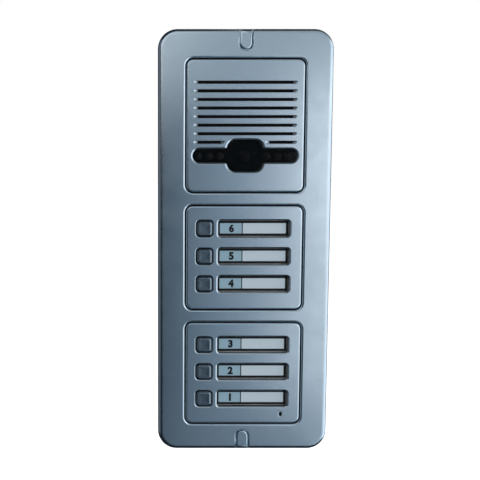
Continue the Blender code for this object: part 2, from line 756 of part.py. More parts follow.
def make_fixing_screws():
    """Two pan-head screws that hold the bezel to the back box, each with a hexagonal socket."""
    head_back = POCKET_FLOOR + GAP
    head_front = COVER_BACK - GAP
    for sign, side in ((1, "top"), (-1, "bottom")):
        place = (0.0, 0.0, sign * SCREW_Z)
        head = Shape().rod(0.0, 0.0, 3.5 * MM, head_back, head_front, 24)
        screw = smooth(head.build(f"{side}_fixing_screw", PARTS, "steel", place))
        shank = Shape().rod(0.0, 0.0, 1.8 * MM, 12.0 * MM, head_back + MM, 16)
        socket = Shape().rod(0.0, 0.0, 1.5 * MM, head_front - 1.4 * MM, FACE, 6)
        combine(
            screw,
            add=[shank.build(f"{side}_screw_shank", location=place)],
            cut=[socket.build(f"{side}_screw_socket", location=place)],
        )


def make_back_box():
    """The plastic box on the wall: open at the front, with a lead entry, wall holes, bosses and posts."""
    outer = (BOX_WIDTH, BOX_HEIGHT)
    box = Shape().slab(0.0, 0.0, outer, 0.0, BOX_FRONT, BOX_CORNER, 5)
    box = box.build("back_box", PARTS, "black_plastic")
    inner = grown(outer, -BOX_WALL)
    hollow = Shape().slab(0.0, 0.0, inner, BOX_WALL, FACE, BOX_CORNER - BOX_WALL, 5)
    combine(box, cut=[hollow.build("box_hollow")])

    boss_start = 136.4 * MM
    boss_end = BOX_HEIGHT / 2 - BOX_WALL / 2
    bosses = Shape()
    posts = Shape()
    pins = Shape()
    holes = Shape()
    for end in (-1, 1):
        middle = end * (boss_start + boss_end) / 2
        size = (13.0 * MM, boss_end - boss_start)
        bosses.slab(0.0, middle, size, BOX_WALL / 2, BOX_FRONT)
        holes.rod(0.0, end * SCREW_Z, 2.1 * MM, 10.0 * MM, BOX_FRONT + MM, 16)
        for side in (-1, 1):
            x = side * POST_REACH[0]
            z = MAIN_BOARD_Z + end * POST_REACH[1]
            posts.rod(x, z, 3.0 * MM, BOX_WALL / 2, MAIN_BOARD_BACK - GAP, 16)
            pins.rod(x, z, PIN_RADIUS, MAIN_BOARD_BACK - MM, MAIN_BOARD_BACK + 2.6 * MM, 12)
            holes.rod(side * 42.0 * MM, end * 118.0 * MM, 2.6 * MM, -MM, BOX_WALL + MM, 16)
    holes.rod(0.0, ENTRY_Z, ENTRY_RADIUS, -MM, BOX_WALL + MM, 32)
    add = [bosses.build("box_bosses"), posts.build("box_posts"), pins.build("box_pins")]
    combine(box, add=add, cut=[holes.build("box_holes")])

    seal = Shape().slab(0.0, 0.0, outer, BOX_FRONT + GAP, LEDGE_END - GAP, BOX_CORNER, 5)
    seal = seal.build("box_seal", PARTS, "rubber")
    inside = Shape().slab(0.0, 0.0, inner, BOX_FRONT - MM, FACE, BOX_CORNER - BOX_WALL, 5)
    combine(seal, cut=[inside.build("seal_inside")])


def make_main_board():
    """The main circuit board on its four posts, and the screw terminals at its lower end."""
    front = MAIN_BOARD_BACK + BOARD_THICK
    board = Shape().slab(
        0.0, MAIN_BOARD_Z, MAIN_BOARD, MAIN_BOARD_BACK, front, 2.0 * MM, 2
    )
    board = board.build("main_board", PARTS, "circuit_board")
    holes = Shape()
    for end in (-1, 1):
        for side in (-1, 1):
            z = MAIN_BOARD_Z + end * POST_REACH[1]
            holes.rod(side * POST_REACH[0], z, PIN_RADIUS + GAP, 0.0, FACE, 12)
    chips = Shape()
    for x, z, size, tall in MAIN_CHIPS:
        chips.slab(x, z, size, front - 0.2 * MM, front + tall)
    combine(board, add=[chips.build("board_chips")], cut=[holes.build("board_holes")])

    ways = 6
    pitch = 7.0 * MM
    length = ways * pitch + 2.0 * MM
    base_z = MAIN_BOARD_Z - MAIN_BOARD[1] / 2 + 7.0 * MM
    back = front + GAP
    block = Shape().slab(0.0, base_z, (length, 10.0 * MM), back, back + 9.0 * MM)
    block = block.build("terminal_block", PARTS, "terminal_plastic")
    holes = Shape()
    for way in range(ways):
        x = (way - (ways - 1) / 2) * pitch
        holes.rod(x, base_z + 1.5 * MM, 1.9 * MM, back + 5.0 * MM, FACE, 12)
        holes.slab(x, base_z - 4.0 * MM, (4.2 * MM, 6.0 * MM), back + 1.2 * MM, back + 5.4 * MM)
    combine(block, cut=[holes.build("terminal_holes")])


def main():
    """Builds the whole panel."""
    clear_scene()
    make_bezel()
    make_speaker_plate()
    make_button_plate("upper_button_plate", UPPER_Z, with_microphone=False)
    make_button_plate("lower_button_plate", LOWER_Z, with_microphone=True)
    make_speaker_carrier()
    make_button_carrier("upper_button_carrier", UPPER_Z)
    make_button_carrier("lower_button_carrier", LOWER_Z)
    make_call_buttons()
    make_switches()
    make_name_windows()
    make_button_board("upper", UPPER_Z)
    make_button_board("lower", LOWER_Z)
    make_window()
    make_speaker()
    make_camera()
    make_microphone()
    make_screw_covers()
    make_fixing_screws()
    make_back_box()
    make_main_board()


main()
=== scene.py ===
"""Looks of a wall-mounted door intercom panel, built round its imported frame.

Lengths are in metres in the frame's own axes: +X to the right, +Z up and the wall at y = 0. The panel faces
-Y, so a depth is a distance in front of the wall and a point at depth d has y = -d. Each sub-assembly is a
class that holds its sizes, works out its surfaces as whole arrays and dresses them, and each finish is a
class that builds one procedural material.
"""

import logging
import math
from abc import ABC, abstractmethod
from collections.abc import Sequence
from dataclasses import dataclass, field
from enum import Enum

import bmesh
import bpy
import numpy as np
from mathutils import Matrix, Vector
from mathutils.geometry import tessellate_polygon


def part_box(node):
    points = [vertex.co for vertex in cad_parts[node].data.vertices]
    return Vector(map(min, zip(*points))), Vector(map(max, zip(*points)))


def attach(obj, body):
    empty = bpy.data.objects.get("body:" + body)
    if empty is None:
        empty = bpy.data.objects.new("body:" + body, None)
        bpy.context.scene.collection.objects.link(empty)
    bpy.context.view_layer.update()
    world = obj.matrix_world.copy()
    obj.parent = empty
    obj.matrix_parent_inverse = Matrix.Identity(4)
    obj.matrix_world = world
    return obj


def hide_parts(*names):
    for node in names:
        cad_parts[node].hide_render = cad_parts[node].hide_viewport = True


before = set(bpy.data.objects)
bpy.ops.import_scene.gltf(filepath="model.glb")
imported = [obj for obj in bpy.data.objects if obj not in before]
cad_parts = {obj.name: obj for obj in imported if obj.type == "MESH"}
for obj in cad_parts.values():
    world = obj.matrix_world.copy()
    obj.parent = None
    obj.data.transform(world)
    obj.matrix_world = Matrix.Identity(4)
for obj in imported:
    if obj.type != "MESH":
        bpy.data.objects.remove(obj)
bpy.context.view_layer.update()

log = logging.getLogger("door_panel")

MM = 0.001
QUARTER_TURN = math.pi / 2
SHARP_TURN = math.radians(35.0)  # an edge that turns by more than this stays crisp
WELD_REACH = 1e-6  # points nearer than this become one
WAVE_LENGTH = 0.314  # the period of a wave pattern whose scale is 1
# The point attribute holds rubbed wear above 0 and painted shade in gaps and recesses below 0.
WEAR_AND_SHADE = "wear_and_shade"
NUMBERS = range(1, 7)
Array = np.ndarray
Colour = tuple[float, float, float]
Piece = bpy.types.Object
Socket = bpy.types.NodeSocket
Inputs = dict[str | int, object]
Pair = tuple[float, float]


# Outlines: closed curves in the plane of the panel's face, which grow and shrink evenly


class Outline(ABC):
    """A closed curve seen from the front, turning left, that can be grown by an offset."""

    @abstractmethod
    def rings(self, offsets: Array) -> Array:
        """Works out the curve at several offsets.

        Args:
            offsets: How far each ring lies outside the curve, shape (m,).

        Returns:
            Points (x, z) of every ring, shape (m, n, 2).
        """


@dataclass(frozen=True)
class RoundedBlock(Outline):
    """A rectangle with round corners, whose top and bottom corners may differ.

    Formula: each corner is a quarter circle about the point one radius in from both sides. An offset moves
    the sides out, `reach` times as far at the left and right ends, and grows the corner radii by as much.
    """

    x: float
    z: float
    width: float
    height: float
    top_corner: float
    bottom_corner: float | None = None
    reach: float = 1.0
    steps: int = 8

    def rings(self, offsets: Array) -> Array:
        """Returns the rounded rectangle at each offset; see Outline.rings."""
        grow = np.asarray(offsets, float)[:, None]
        side_x = np.array([1.0, -1.0, -1.0, 1.0])
        side_z = np.array([1.0, 1.0, -1.0, -1.0])
        bottom = self.top_corner if self.bottom_corner is None else self.bottom_corner
        radii = np.maximum(np.array([self.top_corner, self.top_corner, bottom, bottom]) + grow, 0.02 * MM)
        middle_x = side_x * (self.width / 2 + grow * self.reach - radii)
        middle_z = side_z * (self.height / 2 + grow - radii)
        angle = np.arange(4)[:, None] * QUARTER_TURN + np.linspace(0.0, QUARTER_TURN, self.steps + 1)
        x = self.x + middle_x[..., None] + radii[..., None] * np.cos(angle)
        z = self.z + middle_z[..., None] + radii[..., None] * np.sin(angle)
        return np.stack([x, z], axis=-1).reshape(len(grow), -1, 2)


@dataclass(frozen=True)
class BarAndBody(Outline):
    """A round-ended bar that passes behind a taller rounded body at its middle, blended where they meet.

    Formula: the curve is twelve arcs. A point of an arc is its centre plus its signed radius times the
    outward direction, and an offset is added to the signed radius, which is negative on the four hollow
    blends. Each blend touches the bar's edge and the body's corner arc.
    """

    z: float
    bar: Pair
    body: Pair
    bar_corner: float
    body_corner: float
    blend: float = 1.9 * MM
    steps: int = 8

    def rings(self, offsets: Array) -> Array:
        """Returns the joined outline at each offset; see Outline.rings."""
        bar_x, bar_z = self.bar[0] / 2 - self.bar_corner, self.bar[1] / 2 - self.bar_corner
        body_x, body_z = self.body[0] / 2 - self.body_corner, self.body[1] / 2 - self.body_corner
        blend_z = self.bar[1] / 2 + self.blend
        rise = blend_z - body_z
        run = math.sqrt((self.body_corner + self.blend) ** 2 - rise**2)
        meet = math.atan2(rise, run)
        quadrant = np.array([
            [bar_x, bar_z, self.bar_corner, 0.0, QUARTER_TURN],
            [body_x + run, blend_z, -self.blend, QUARTER_TURN, meet],
            [body_x, body_z, self.body_corner, meet, QUARTER_TURN],
        ])
        arcs = []
        for flip_x, flip_z in ((1, 1), (-1, 1), (-1, -1), (1, -1)):
            part = quadrant * [flip_x, flip_z, 1, 1, 1]
            if flip_x < 0:
                part[:, 3:] = math.pi - part[:, 3:]
            if flip_z < 0:
                part[:, 3:] = -part[:, 3:]
            arcs.append(part if flip_x * flip_z > 0 else part[::-1][:, [0, 1, 2, 4, 3]])
        middle_x, middle_z, radii, start, end = (column[:, None] for column in np.concatenate(arcs).T)
        angle = start + (end - start) * np.linspace(0.0, 1.0, self.steps + 1)
        radius = radii + np.asarray(offsets, float)[:, None, None]
        x = middle_x + radius * np.cos(angle)
        z = self.z + middle_z + radius * np.sin(angle)
        return np.stack([x, z], axis=-1).reshape(len(radius), -1, 2)


@dataclass(frozen=True)
class Disc(Outline):
    """A circle, or a regular polygon where the steps are few.

    Formula: the centre plus the radius and the offset times the unit circle.
    """

    x: float
    z: float
    radius: float
    steps: int = 48
    turn: float = 0.0

    def rings(self, offsets: Array) -> Array:
        """Returns the circle at each offset; see Outline.rings."""
        angle = np.linspace(0.0, 2 * math.pi, self.steps, endpoint=False) + self.turn
        radius = np.maximum(self.radius + np.asarray(offsets, float)[:, None], 0.0)
        return np.stack([self.x + radius * np.cos(angle), self.z + radius * np.sin(angle)], axis=-1)


# Profiles: the section that is carried round an outline


@dataclass(frozen=True)
class Bend:
    """A corner of a section: its offset from the outline, its depth, its radius and how rubbed it is."""

    offset: float
    depth: float
    radius: float = 0.0
    wear_and_shade: float = 0.0

    @property
    def row(self) -> Array:
        """The sharp corner, as one row of offset, depth and wear."""
        return np.array([[self.offset, self.depth, self.wear_and_shade]])


def section(bends: Sequence[Bend], steps: int = 6) -> Array:
    """Rounds the corners of a section.

    Formula: a corner of radius r is cut r over the tangent of half its angle from the corner on both sides,
    and the arc between runs evenly in angle from one tangent point to the other about their common centre.

    Args:
        bends: The corners in order, of which the first and the last stay sharp.
        steps: How many facets a rounded corner has.

    Returns:
        Rows of offset, depth and wear, shape (m, 3).
    """
    rows = [bends[0].row]
    share = np.linspace(0.0, 1.0, steps + 1)[:, None]
    for before, bend, after in zip(bends, bends[1:], bends[2:]):
        if bend.radius <= 0.0:
            rows.append(bend.row)
            continue
        corner = bend.row[0, :2]
        inward, outward = before.row[0, :2] - corner, after.row[0, :2] - corner
        inward /= np.linalg.norm(inward)
        outward /= np.linalg.norm(outward)
        half = math.acos(float(np.clip(inward @ outward, -1.0, 1.0))) / 2
        centre = corner + (inward + outward) / np.linalg.norm(inward + outward) * bend.radius / math.sin(half)
        first = corner + inward * bend.radius / math.tan(half) - centre
        last = corner + outward * bend.radius / math.tan(half) - centre
        swing = math.pi - 2 * half
        arc = centre + (np.sin((1 - share) * swing) * first + np.sin(share * swing) * last) / math.sin(swing)
        rows.append(np.hstack([arc, bend.wear_and_shade * np.sin(math.pi * share) ** 0.5]))
    rows.append(bends[-1].row)
    return np.concatenate(rows)


def painted_recess_shade(profile: Array, depth: float, reach: float = 0.35 * MM) -> Array:
    """Marks a section with painted shade below a depth, standing in for the shade in a gap or recess.

    Formula: wear_and_shade falls in a straight line from its own value at that depth to -1 a short way below.

    Args:
        profile: Rows of offset, depth and wear_and_shade.
        depth: Where the painted shade starts.
        reach: How far below that it is full.

    Returns:
        The section with its new wear.
    """
    share = np.clip((depth - profile[:, 1]) / reach, 0.0, 1.0)
    marked = profile.copy()
    marked[:, 2] = profile[:, 2] * (1 - share) - share
    return marked


def dome(radius: float, front: float, rise: float, steps: int) -> Array:
    """Gives the section of a dome.

    Formula: a quarter of an ellipse, with the sine of the angle across and its cosine in depth.

    Args:
        radius: The dome's radius.
        front: The depth of its top.
        rise: How far the top lies in front of the rim.
        steps: How many facets it has.

    Returns:
        Rows of radius, depth and wear, from the axis to the rim.
    """
    angle = np.linspace(0.0, 1.0, steps + 1) * QUARTER_TURN
    return np.stack([radius * np.sin(angle), front - rise * (1 - np.cos(angle)), 0.0 * angle], axis=-1)


# Shells: closed meshes made of swept grids and flat fills


class Shell:
    """A closed mesh under construction, from grids and flat fills that meet edge to edge."""

    def __init__(self) -> None:
        """Starts with no points."""
        self._points: list[Array] = []
        self._wear_and_shade: list[Array] = []
        self._faces: list[list[int]] = []
        self._count = 0

    def _keep(self, points: Array, wear_and_shade: Array, faces: list[list[int]]) -> None:
        """Adds points and the faces between them.

        Args:
            points: Points, shape (..., 3).
            wear_and_shade: How worn each point is above 0 and how deep its painted shade is below 0, any
                shape
            that spreads over the points.
            faces: Corner numbers, which already count the points before these.
        """
        self._points.append(points.reshape(-1, 3))
        self._wear_and_shade.append(np.broadcast_to(wear_and_shade, points.shape[:-1]).reshape(-1))
        self._faces.extend(faces)
        self._count += len(self._points[-1])

    def grid(self, points: Array, wear_and_shade: Array) -> None:
        """Adds a surface on a grid of rings, each of which closes on itself.

        Args:
            points: Grid of points, shape (rings, points in a ring, 3).
            wear_and_shade: How worn the surface is at each point above 0 and how deep its painted shade is
            below 0, any shape that spreads over the grid.
        """
        rows, columns = points.shape[:2]
        index = np.arange(rows * columns).reshape(rows, columns) + self._count
        beside = np.roll(index, -1, axis=1)
        quads = np.stack([index[:-1], beside[:-1], beside[1:], index[1:]], axis=-1).reshape(-1, 4)
        self._keep(points, wear_and_shade, quads.tolist())

    def sweep(self, outline: Outline, profile: Array) -> tuple[Array, Array]:
        """Carries a section round an outline.

        Formula: the point of section row i at place j of the outline is the outline grown by the row's
        offset, at the row's depth.

        Args:
            outline: The path, seen from the front.
            profile: Rows of offset, depth and wear.

        Returns:
            The first and the last ring, each of shape (n, 3), for the fills that close the shell.
        """
        flat = outline.rings(profile[:, 0])
        depth = np.broadcast_to(-profile[:, 1, None], flat.shape[:2])
        points = np.stack([flat[..., 0], depth, flat[..., 1]], axis=-1)
        self.grid(points, profile[:, 2, None])
        return points[0], points[-1]

    def fill(self, loops: Sequence[Array]) -> None:
        """Closes a flat area.

        Args:
            loops: The area's edge, and then the edge of each hole in it, each of shape (n, 3).
        """
        triangles = tessellate_polygon([[Vector(point) for point in loop] for loop in loops])
        faces = [[corner + self._count for corner in triangle] for triangle in triangles]
        self._keep(np.concatenate(loops), np.zeros(1), faces)

    def dish(self, loop: Array, drop: float, rings: int = 8) -> None:
        """Closes a loop with a shallow dish.

        Formula: each point of the loop is drawn to the loop's middle by a share s from 0 to 1, and it goes
        back by the drop times one less the square of what is left of the way out, so that the dish meets
        the loop at its own slope and is level at its middle.

        Args:
            loop: The rim, shape (n, 3), at one depth.
            drop: How far the middle lies behind the rim.
            rings: How many rings lie between the rim and the middle.
        """
        left = np.linspace(1.0, 0.0, rings + 1)[:, None, None]
        middle = (loop.max(0) + loop.min(0)) / 2
        points = middle + (loop - middle) * left
        points[..., 1] += drop * (1.0 - left[..., 0] ** 2)
        self.grid(points, np.zeros(1))

    def piece(self, name: str, finish: "Finishes") -> Piece:
        """Welds the shell into a dressed object in the scene.

        Args:
            name: The object's name.
            finish: The finish that it takes.

        Returns:
            The object.
        """
        data = bpy.data.meshes.new(name)
        data.from_pydata(np.concatenate(self._points).tolist(), [], self._faces)
        wear_and_shade_field = data.attributes.new(WEAR_AND_SHADE, "FLOAT", "POINT")
        wear_and_shade_field.data.foreach_set("value", np.concatenate(self._wear_and_shade).astype(np.float32))
        weld(data)
        data.materials.append(finish.value.material())
        return level_shading(put(name, data))


def put(name: str, data: bpy.types.ID) -> Piece:
    """Adds an object that holds a mesh, light or camera to the scene."""
    item = bpy.data.objects.new(name, data)
    bpy.context.scene.collection.objects.link(item)
    return item


def weld(data: bpy.types.Mesh) -> None:
    """Merges the points that lie together and turns every face outwards.

    Args:
        data: A closed mesh.
    """
    work = bmesh.new()
    work.from_mesh(data)
    bmesh.ops.remove_doubles(work, verts=work.verts, dist=WELD_REACH)
    bmesh.ops.recalc_face_normals(work, faces=work.faces)
    work.to_mesh(data)
    work.free()


def bake(item: Piece) -> Piece:
    """Gives an object the mesh that its modifiers make, and takes the modifiers off.

    Args:
        item: The object.

    Returns:
        The same object.
    """
    bpy.context.view_layer.update()
    evaluated = item.evaluated_get(bpy.context.evaluated_depsgraph_get())
    finished = bpy.data.meshes.new_from_object(evaluated)
    item.modifiers.clear()
    item.data = finished
    return item


def level_shading(item: Piece) -> Piece:
    """Shades a piece smooth between its sharp edges, with the large faces keeping their own direction.

    Args:
        item: The piece.

    Returns:
        The same piece.
    """
    item.data.shade_smooth()
    item.data.set_sharp_from_angle(angle=SHARP_TURN)
    weighted = item.modifiers.new("level", "WEIGHTED_NORMAL")
    weighted.weight = 100
    weighted.keep_sharp = True
    return bake(item)


class Carve(Enum):
    """How tools change a piece: joined to it, taken out of it, or the space that they share."""

    JOIN = "UNION"
    CUT = "DIFFERENCE"
    TRIM = "INTERSECT"

    def apply(self, item: Piece, tools: Sequence[Piece]) -> None:
        """Changes a piece by its tools and removes the tools.

        Args:
            item: The piece.
            tools: The solids that it is joined to, cut by or trimmed with.
        """
        for tool in tools:
            step = item.modifiers.new(tool.name, "BOOLEAN")
            step.operation = self.value
            step.solver = "EXACT"
            step.object = tool
        bake(item)
        for tool in tools:
            bpy.data.objects.remove(tool)


def walled(name: str, walls: Sequence[tuple[Outline, Array]], finish: "Finishes") -> Piece:
    """A piece whose outer wall and holes are joined by one flat face in front and one behind.

    Args:
        name: The object's name.
        walls: The outline and the section of the outer wall, and then of each hole.
        finish: The piece's finish.

    Returns:
        The piece.
    """
    shell = Shell()
    first_loops, last_loops = zip(*(shell.sweep(outline, profile) for outline, profile in walls))
    shell.fill(first_loops)
    shell.fill(last_loops)
    return shell.piece(name, finish)


def slab(name: str, outline: Outline, back: float, front: float, finish: "Finishes",
         rim: float = 0.0, foot: float = 0.0) -> Piece:
    """A plain plate between two depths with its front and back rims rounded.

    Args:
        name: The object's name.
        outline: The plate's outline.
        back: The back face's depth.
        front: The front face's depth.
        finish: The plate's finish.
        rim: The front rim's radius.
        foot: The back rim's radius.

    Returns:
        The plate.
    """
    inset = -1.3 * max(rim, foot) - 0.05 * MM
    bends = [Bend(inset, front), Bend(0.0, front, rim, 1.0), Bend(0.0, back, foot), Bend(inset, back)]
    return walled(name, [(outline, section(bends, 5))], finish)


def turned(name: str, place: "Room", profile: Array, finish: "Finishes", steps: int) -> Piece:
    """A piece turned about the middle of its room, on a line through the panel's depth.

    Formula: each section row is a circle of that row's offset as radius at its depth.

    Args:
        name: The object's name.
        place: The room whose middle is the axis.
        profile: Rows of radius, depth and wear, which start and end on the axis or close on themselves.
        finish: The piece's finish.
        steps: Points in a circle.

    Returns:
        The turned piece.
    """
    shell = Shell()
    shell.sweep(Disc(place.x, place.z, 0.0, steps), profile)
    return shell.piece(name, finish)


def settle(item: Piece, nodes: Sequence[str] = (), body: str = "panel") -> None:
    """Hands a finished piece to the frame.

    Args:
        item: The piece.
        nodes: The CAD nodes that it stands for.
        body: The CAD body that it moves with.
    """
    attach(item, body)
    if nodes:
        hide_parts(*nodes)
    log.info("%s rides on %s, %d faces, for %s", item.name, body, len(item.data.polygons), ", ".join(nodes))


# Finishes: one procedural material each


class Painter:
    """A material's nodes, added and joined by short calls. Its patterns read Object coordinates."""

    def __init__(self, name: str) -> None:
        """Starts a material with a principled shader."""
        material = bpy.data.materials.new(name)
        material.use_nodes = True
        self.tree = material.node_tree
        self.place = self.node("TexCoord", "Object", {})

    def node(self, kind: str, output: str | int, values: Inputs, **settings: object) -> Socket:
        """Adds a node.

        Args:
            kind: The node's type, without the prefix that all shader nodes share.
            output: The output to return.
            values: What its inputs take: values, or sockets that they are joined to.
            settings: The node's own properties.

        Returns:
            The output's socket.
        """
        node = self.tree.nodes.new("ShaderNode" + kind)
        for key, value in settings.items():
            setattr(node, key, value)
        self.feed(node, values)
        return node.outputs[output]

    def feed(self, node: bpy.types.Node, values: Inputs) -> None:
        """Fills in a node's inputs.

        Args:
            node: The node.
            values: What its inputs take: values, or sockets that they are joined to.
        """
        for key, value in values.items():
            if isinstance(value, Socket):
                self.tree.links.new(value, node.inputs[key])
            else:
                node.inputs[key].default_value = value

    def dress(self, values: Inputs) -> None:
        """Feeds the principled shader."""
        self.feed(self.tree.nodes["Principled BSDF"], values)

    def stretched(self, scale: tuple[float, float, float]) -> Socket:
        """Returns the place on the piece, squeezed by a factor along each axis."""
        return self.node("Mapping", "Vector", {"Vector": self.place, "Scale": scale})

    def noise(self, size: float, detail: float = 2.0, place: Socket | None = None) -> Socket:
        """Returns a cloudy pattern whose grains are about one size, in metres."""
        values = {"Vector": place or self.place, "Scale": 1.0 / size, "Detail": detail}
        return self.node("TexNoise", "Fac", values)

    def bands(self, direction: str, pitch: float, bent: float) -> Socket:
        """Returns soft bands a pitch apart, in metres, bent by noise."""
        values = {"Vector": self.place, "Scale": WAVE_LENGTH / pitch, "Distortion": bent, "Detail": 1.0}
        return self.node("TexWave", "Fac", values, wave_type="BANDS", bands_direction=direction)

    def cells(self, size: float) -> Socket:
        """Returns the distance to the nearest of many scattered points, one for each small cell."""
        return self.node("TexVoronoi", "Distance", {"Vector": self.place, "Scale": 1.0 / size})

    def wear_and_shade_field(self) -> Socket:
        """Returns the wear and painted shade at each place: 1 is rubbed, 0 is sound and -1 is full painted
        shade.
        """
        return self.node("Attribute", "Fac", {}, attribute_name=WEAR_AND_SHADE)

    def spread(self, value: Socket, low: float, high: float, start: float = 0.0, end: float = 1.0) -> Socket:
        """Maps a value between two bounds to another range, and holds it there past them."""
        values = {"Value": value, "From Min": low, "From Max": high, "To Min": start, "To Max": end}
        return self.node("MapRange", "Result", values)

    def math(self, operation: str, first: object, second: object = 0.0) -> Socket:
        """Returns the result of one sum on two values or sockets."""
        return self.node("Math", 0, {0: first, 1: second}, operation=operation)

    def blend(self, share: Socket, first: object, second: object) -> Socket:
        """Blends two colours.

        Args:
            share: How much of the second colour to take.
            first: A colour or a socket.
            second: A colour or a socket.

        Returns:
            The blended colour.
        """
        first = (*first, 1.0) if isinstance(first, tuple) else first
        second = (*second, 1.0) if isinstance(second, tuple) else second
        return self.node("Mix", 2, {"Factor": share, "A": first, "B": second}, data_type="RGBA")

    def tones(self, share: Socket, colour: Colour, first: float, second: float) -> Socket:
        """Returns a colour between two shades of another."""
        return self.blend(share, shade(colour, first), shade(colour, second))

    def bump(self, height: Socket, rise: float, strength: float, under: Socket | None = None) -> Socket:
        """Makes a pattern stand out from the surface.

        Args:
            height: The pattern.
            rise: How far its highest places stand out, in metres.
            strength: How much of the effect to keep.
            under: A normal that this one is laid over.

        Returns:
            The new normal.
        """
        values = {"Height": height, "Distance": rise, "Strength": strength}
        if under is not None:
            values["Normal"] = under
        return self.node("Bump", "Normal", values)


def shade(colour: Colour, factor: float) -> Colour:
    """Returns a colour made lighter or darker by a factor."""
    return tuple(min(part * factor, 1.0) for part in colour)


@dataclass(frozen=True)
class Finish(ABC):
    """A surface treatment, made once as a material and shared by the pieces that have it."""

    name: str
    colour: Colour

    def material(self) -> bpy.types.Material:
        """Returns the finish's material, made at its first use."""
        title = self.name + "_finish"
        if title not in bpy.data.materials:
            self.paint(Painter(title))
        return bpy.data.materials[title]

    @abstractmethod
    def paint(self, painter: Painter) -> None:
        """Adds the finish's nodes to its material."""


@dataclass(frozen=True)
class Lacquer(Finish):
    """Satin lacquer over die-cast metal: fine flake, faint orange peel, cloudy sheen, rubbed edges and
    painted shade.
    """

    roughness: float = 0.24
    metallic: float = 1.0
    rubbed: float = 1.25
    # How dark the painted shade in gaps and recesses is, as a share of the colour.
    painted_recess_shade: float = 0.015

    def paint(self, painter: Painter) -> None:
        """Flake varies the colour grain by grain, clouds vary the gloss, rubbed edges are brighter, and
        painted shade darkens recesses.
        """
        flake = painter.noise(0.28 * MM)
        cloud = painter.noise(14.0 * MM, 3.0)
        streak = painter.noise(1.0 * MM, 3.0, painter.stretched((0.06, 1.0, 1.0)))
        tint = painter.tones(painter.spread(flake, 0.32, 0.68), self.colour, 0.9, 1.1)
        tint = painter.blend(painter.spread(cloud, 0.3, 0.7, 0.0, 0.35), tint, shade(self.colour, 0.93))
        rubbed = painter.math("MULTIPLY", painter.wear_and_shade_field(), painter.spread(flake, 0.35, 0.6, 0.25, 0.8))
        tint = painter.blend(rubbed, tint, shade(self.colour, self.rubbed))
        # Painted shade: below 0 the attribute turns the lacquer near black, dull and bare of metal, for the
        # shade in gaps and recesses; sound is the share without it.
        painted_shade = painter.spread(painter.wear_and_shade_field(), 0.0, -1.0)
        sound = painter.math("SUBTRACT", 1.0, painted_shade)
        satin = painter.spread(cloud, 0.25, 0.75, self.roughness - 0.03, self.roughness + 0.03)
        gloss = painter.math("ADD", satin, painter.spread(streak, 0.3, 0.7, -0.008, 0.008))
        peel = painter.bump(painter.noise(0.9 * MM), 0.004 * MM, 0.5)
        painter.dress({
            "Base Color": painter.blend(painted_shade, tint, shade(self.colour, self.painted_recess_shade)),
            "Metallic": painter.math("MULTIPLY", sound, self.metallic),
            "Roughness": painter.math("MAXIMUM", gloss, painter.math("MULTIPLY", painted_shade, 0.9)),
            "Specular IOR Level": painter.math("MULTIPLY", sound, 0.5),
            "Normal": painter.bump(flake, 0.006 * MM, 0.5, peel),
        })


@dataclass(frozen=True)
class Moulded(Finish):
    """Moulded plastic or rubber with a fine spark-eroded grain."""

    roughness: float = 0.55
    grain: float = 0.25 * MM

    def paint(self, painter: Painter) -> None:
        """Grain gives the bump, and a slow cloud varies the colour and the gloss."""
        grain = painter.noise(self.grain, 3.0)
        cloud = painter.noise(18.0 * MM, 3.0)
        tint = painter.tones(painter.spread(cloud, 0.3, 0.7), self.colour, 0.85, 1.18)
        fleck = painter.spread(grain, 0.4, 0.8, 0.0, 0.4)
        painter.dress({
            "Base Color": painter.blend(fleck, tint, shade(self.colour, 1.4)),
            "Roughness": painter.spread(cloud, 0.25, 0.75, self.roughness - 0.06, self.roughness + 0.08),
            "Normal": painter.bump(grain, 0.03 * MM, 0.5),
        })


@dataclass(frozen=True)
class Polished(Finish):
    """Clear or smoked plastic or glass, polished, with faint smears and dust."""

    opacity: float = 1.0
    roughness: float = 0.06
    ior: float = 1.5
    level: float = 0.5
    dust: Colour = (0.5, 0.5, 0.5)

    def paint(self, painter: Painter) -> None:
        """Smears vary the gloss, and dust specks lighten the colour a little."""
        smear = painter.noise(9.0 * MM, 3.0, painter.stretched((0.5, 1.0, 1.3)))
        specks = painter.spread(painter.noise(0.35 * MM, 1.0), 0.7, 0.8)
        painter.dress({
            "Base Color": painter.blend(painter.math("MULTIPLY", specks, 0.1), self.colour, self.dust),
            "Roughness": painter.spread(smear, 0.35, 0.7, self.roughness, self.roughness + 0.07),
            "IOR": self.ior,
            "Specular IOR Level": self.level,
            "Alpha": self.opacity,
            "Normal": painter.bump(smear, 0.02 * MM, 0.25),
        })


@dataclass(frozen=True)
class Card(Finish):
    """Printed card: paper fibre under a flat ink, with a painted glow that makes it brighter than the lamps
    light it.
    """

    painted_glow: float = 0.0
    painted_glow_colour: Colour = (1.0, 1.0, 1.0)

    def paint(self, painter: Painter) -> None:
        """Long thin noise makes the fibre, and a slow cloud makes the ink uneven."""
        fibre = painter.noise(0.4 * MM, 4.0, painter.stretched((0.3, 1.0, 1.0)))
        cloud = painter.noise(12.0 * MM)
        tint = painter.tones(painter.spread(fibre, 0.3, 0.7), self.colour, 0.95, 1.05)
        uneven = painter.spread(cloud, 0.3, 0.7, 0.0, 0.3)
        painter.dress({
            "Base Color": painter.blend(uneven, tint, shade(self.colour, 0.9)),
            "Roughness": painter.spread(fibre, 0.2, 0.8, 0.55, 0.75),
            "Normal": painter.bump(fibre, 0.02 * MM, 0.4),
            # Painted light: a glow that brightens the card though nothing lights it from behind.
            "Emission Color": (*self.painted_glow_colour, 1.0),
            "Emission Strength": self.painted_glow,
        })


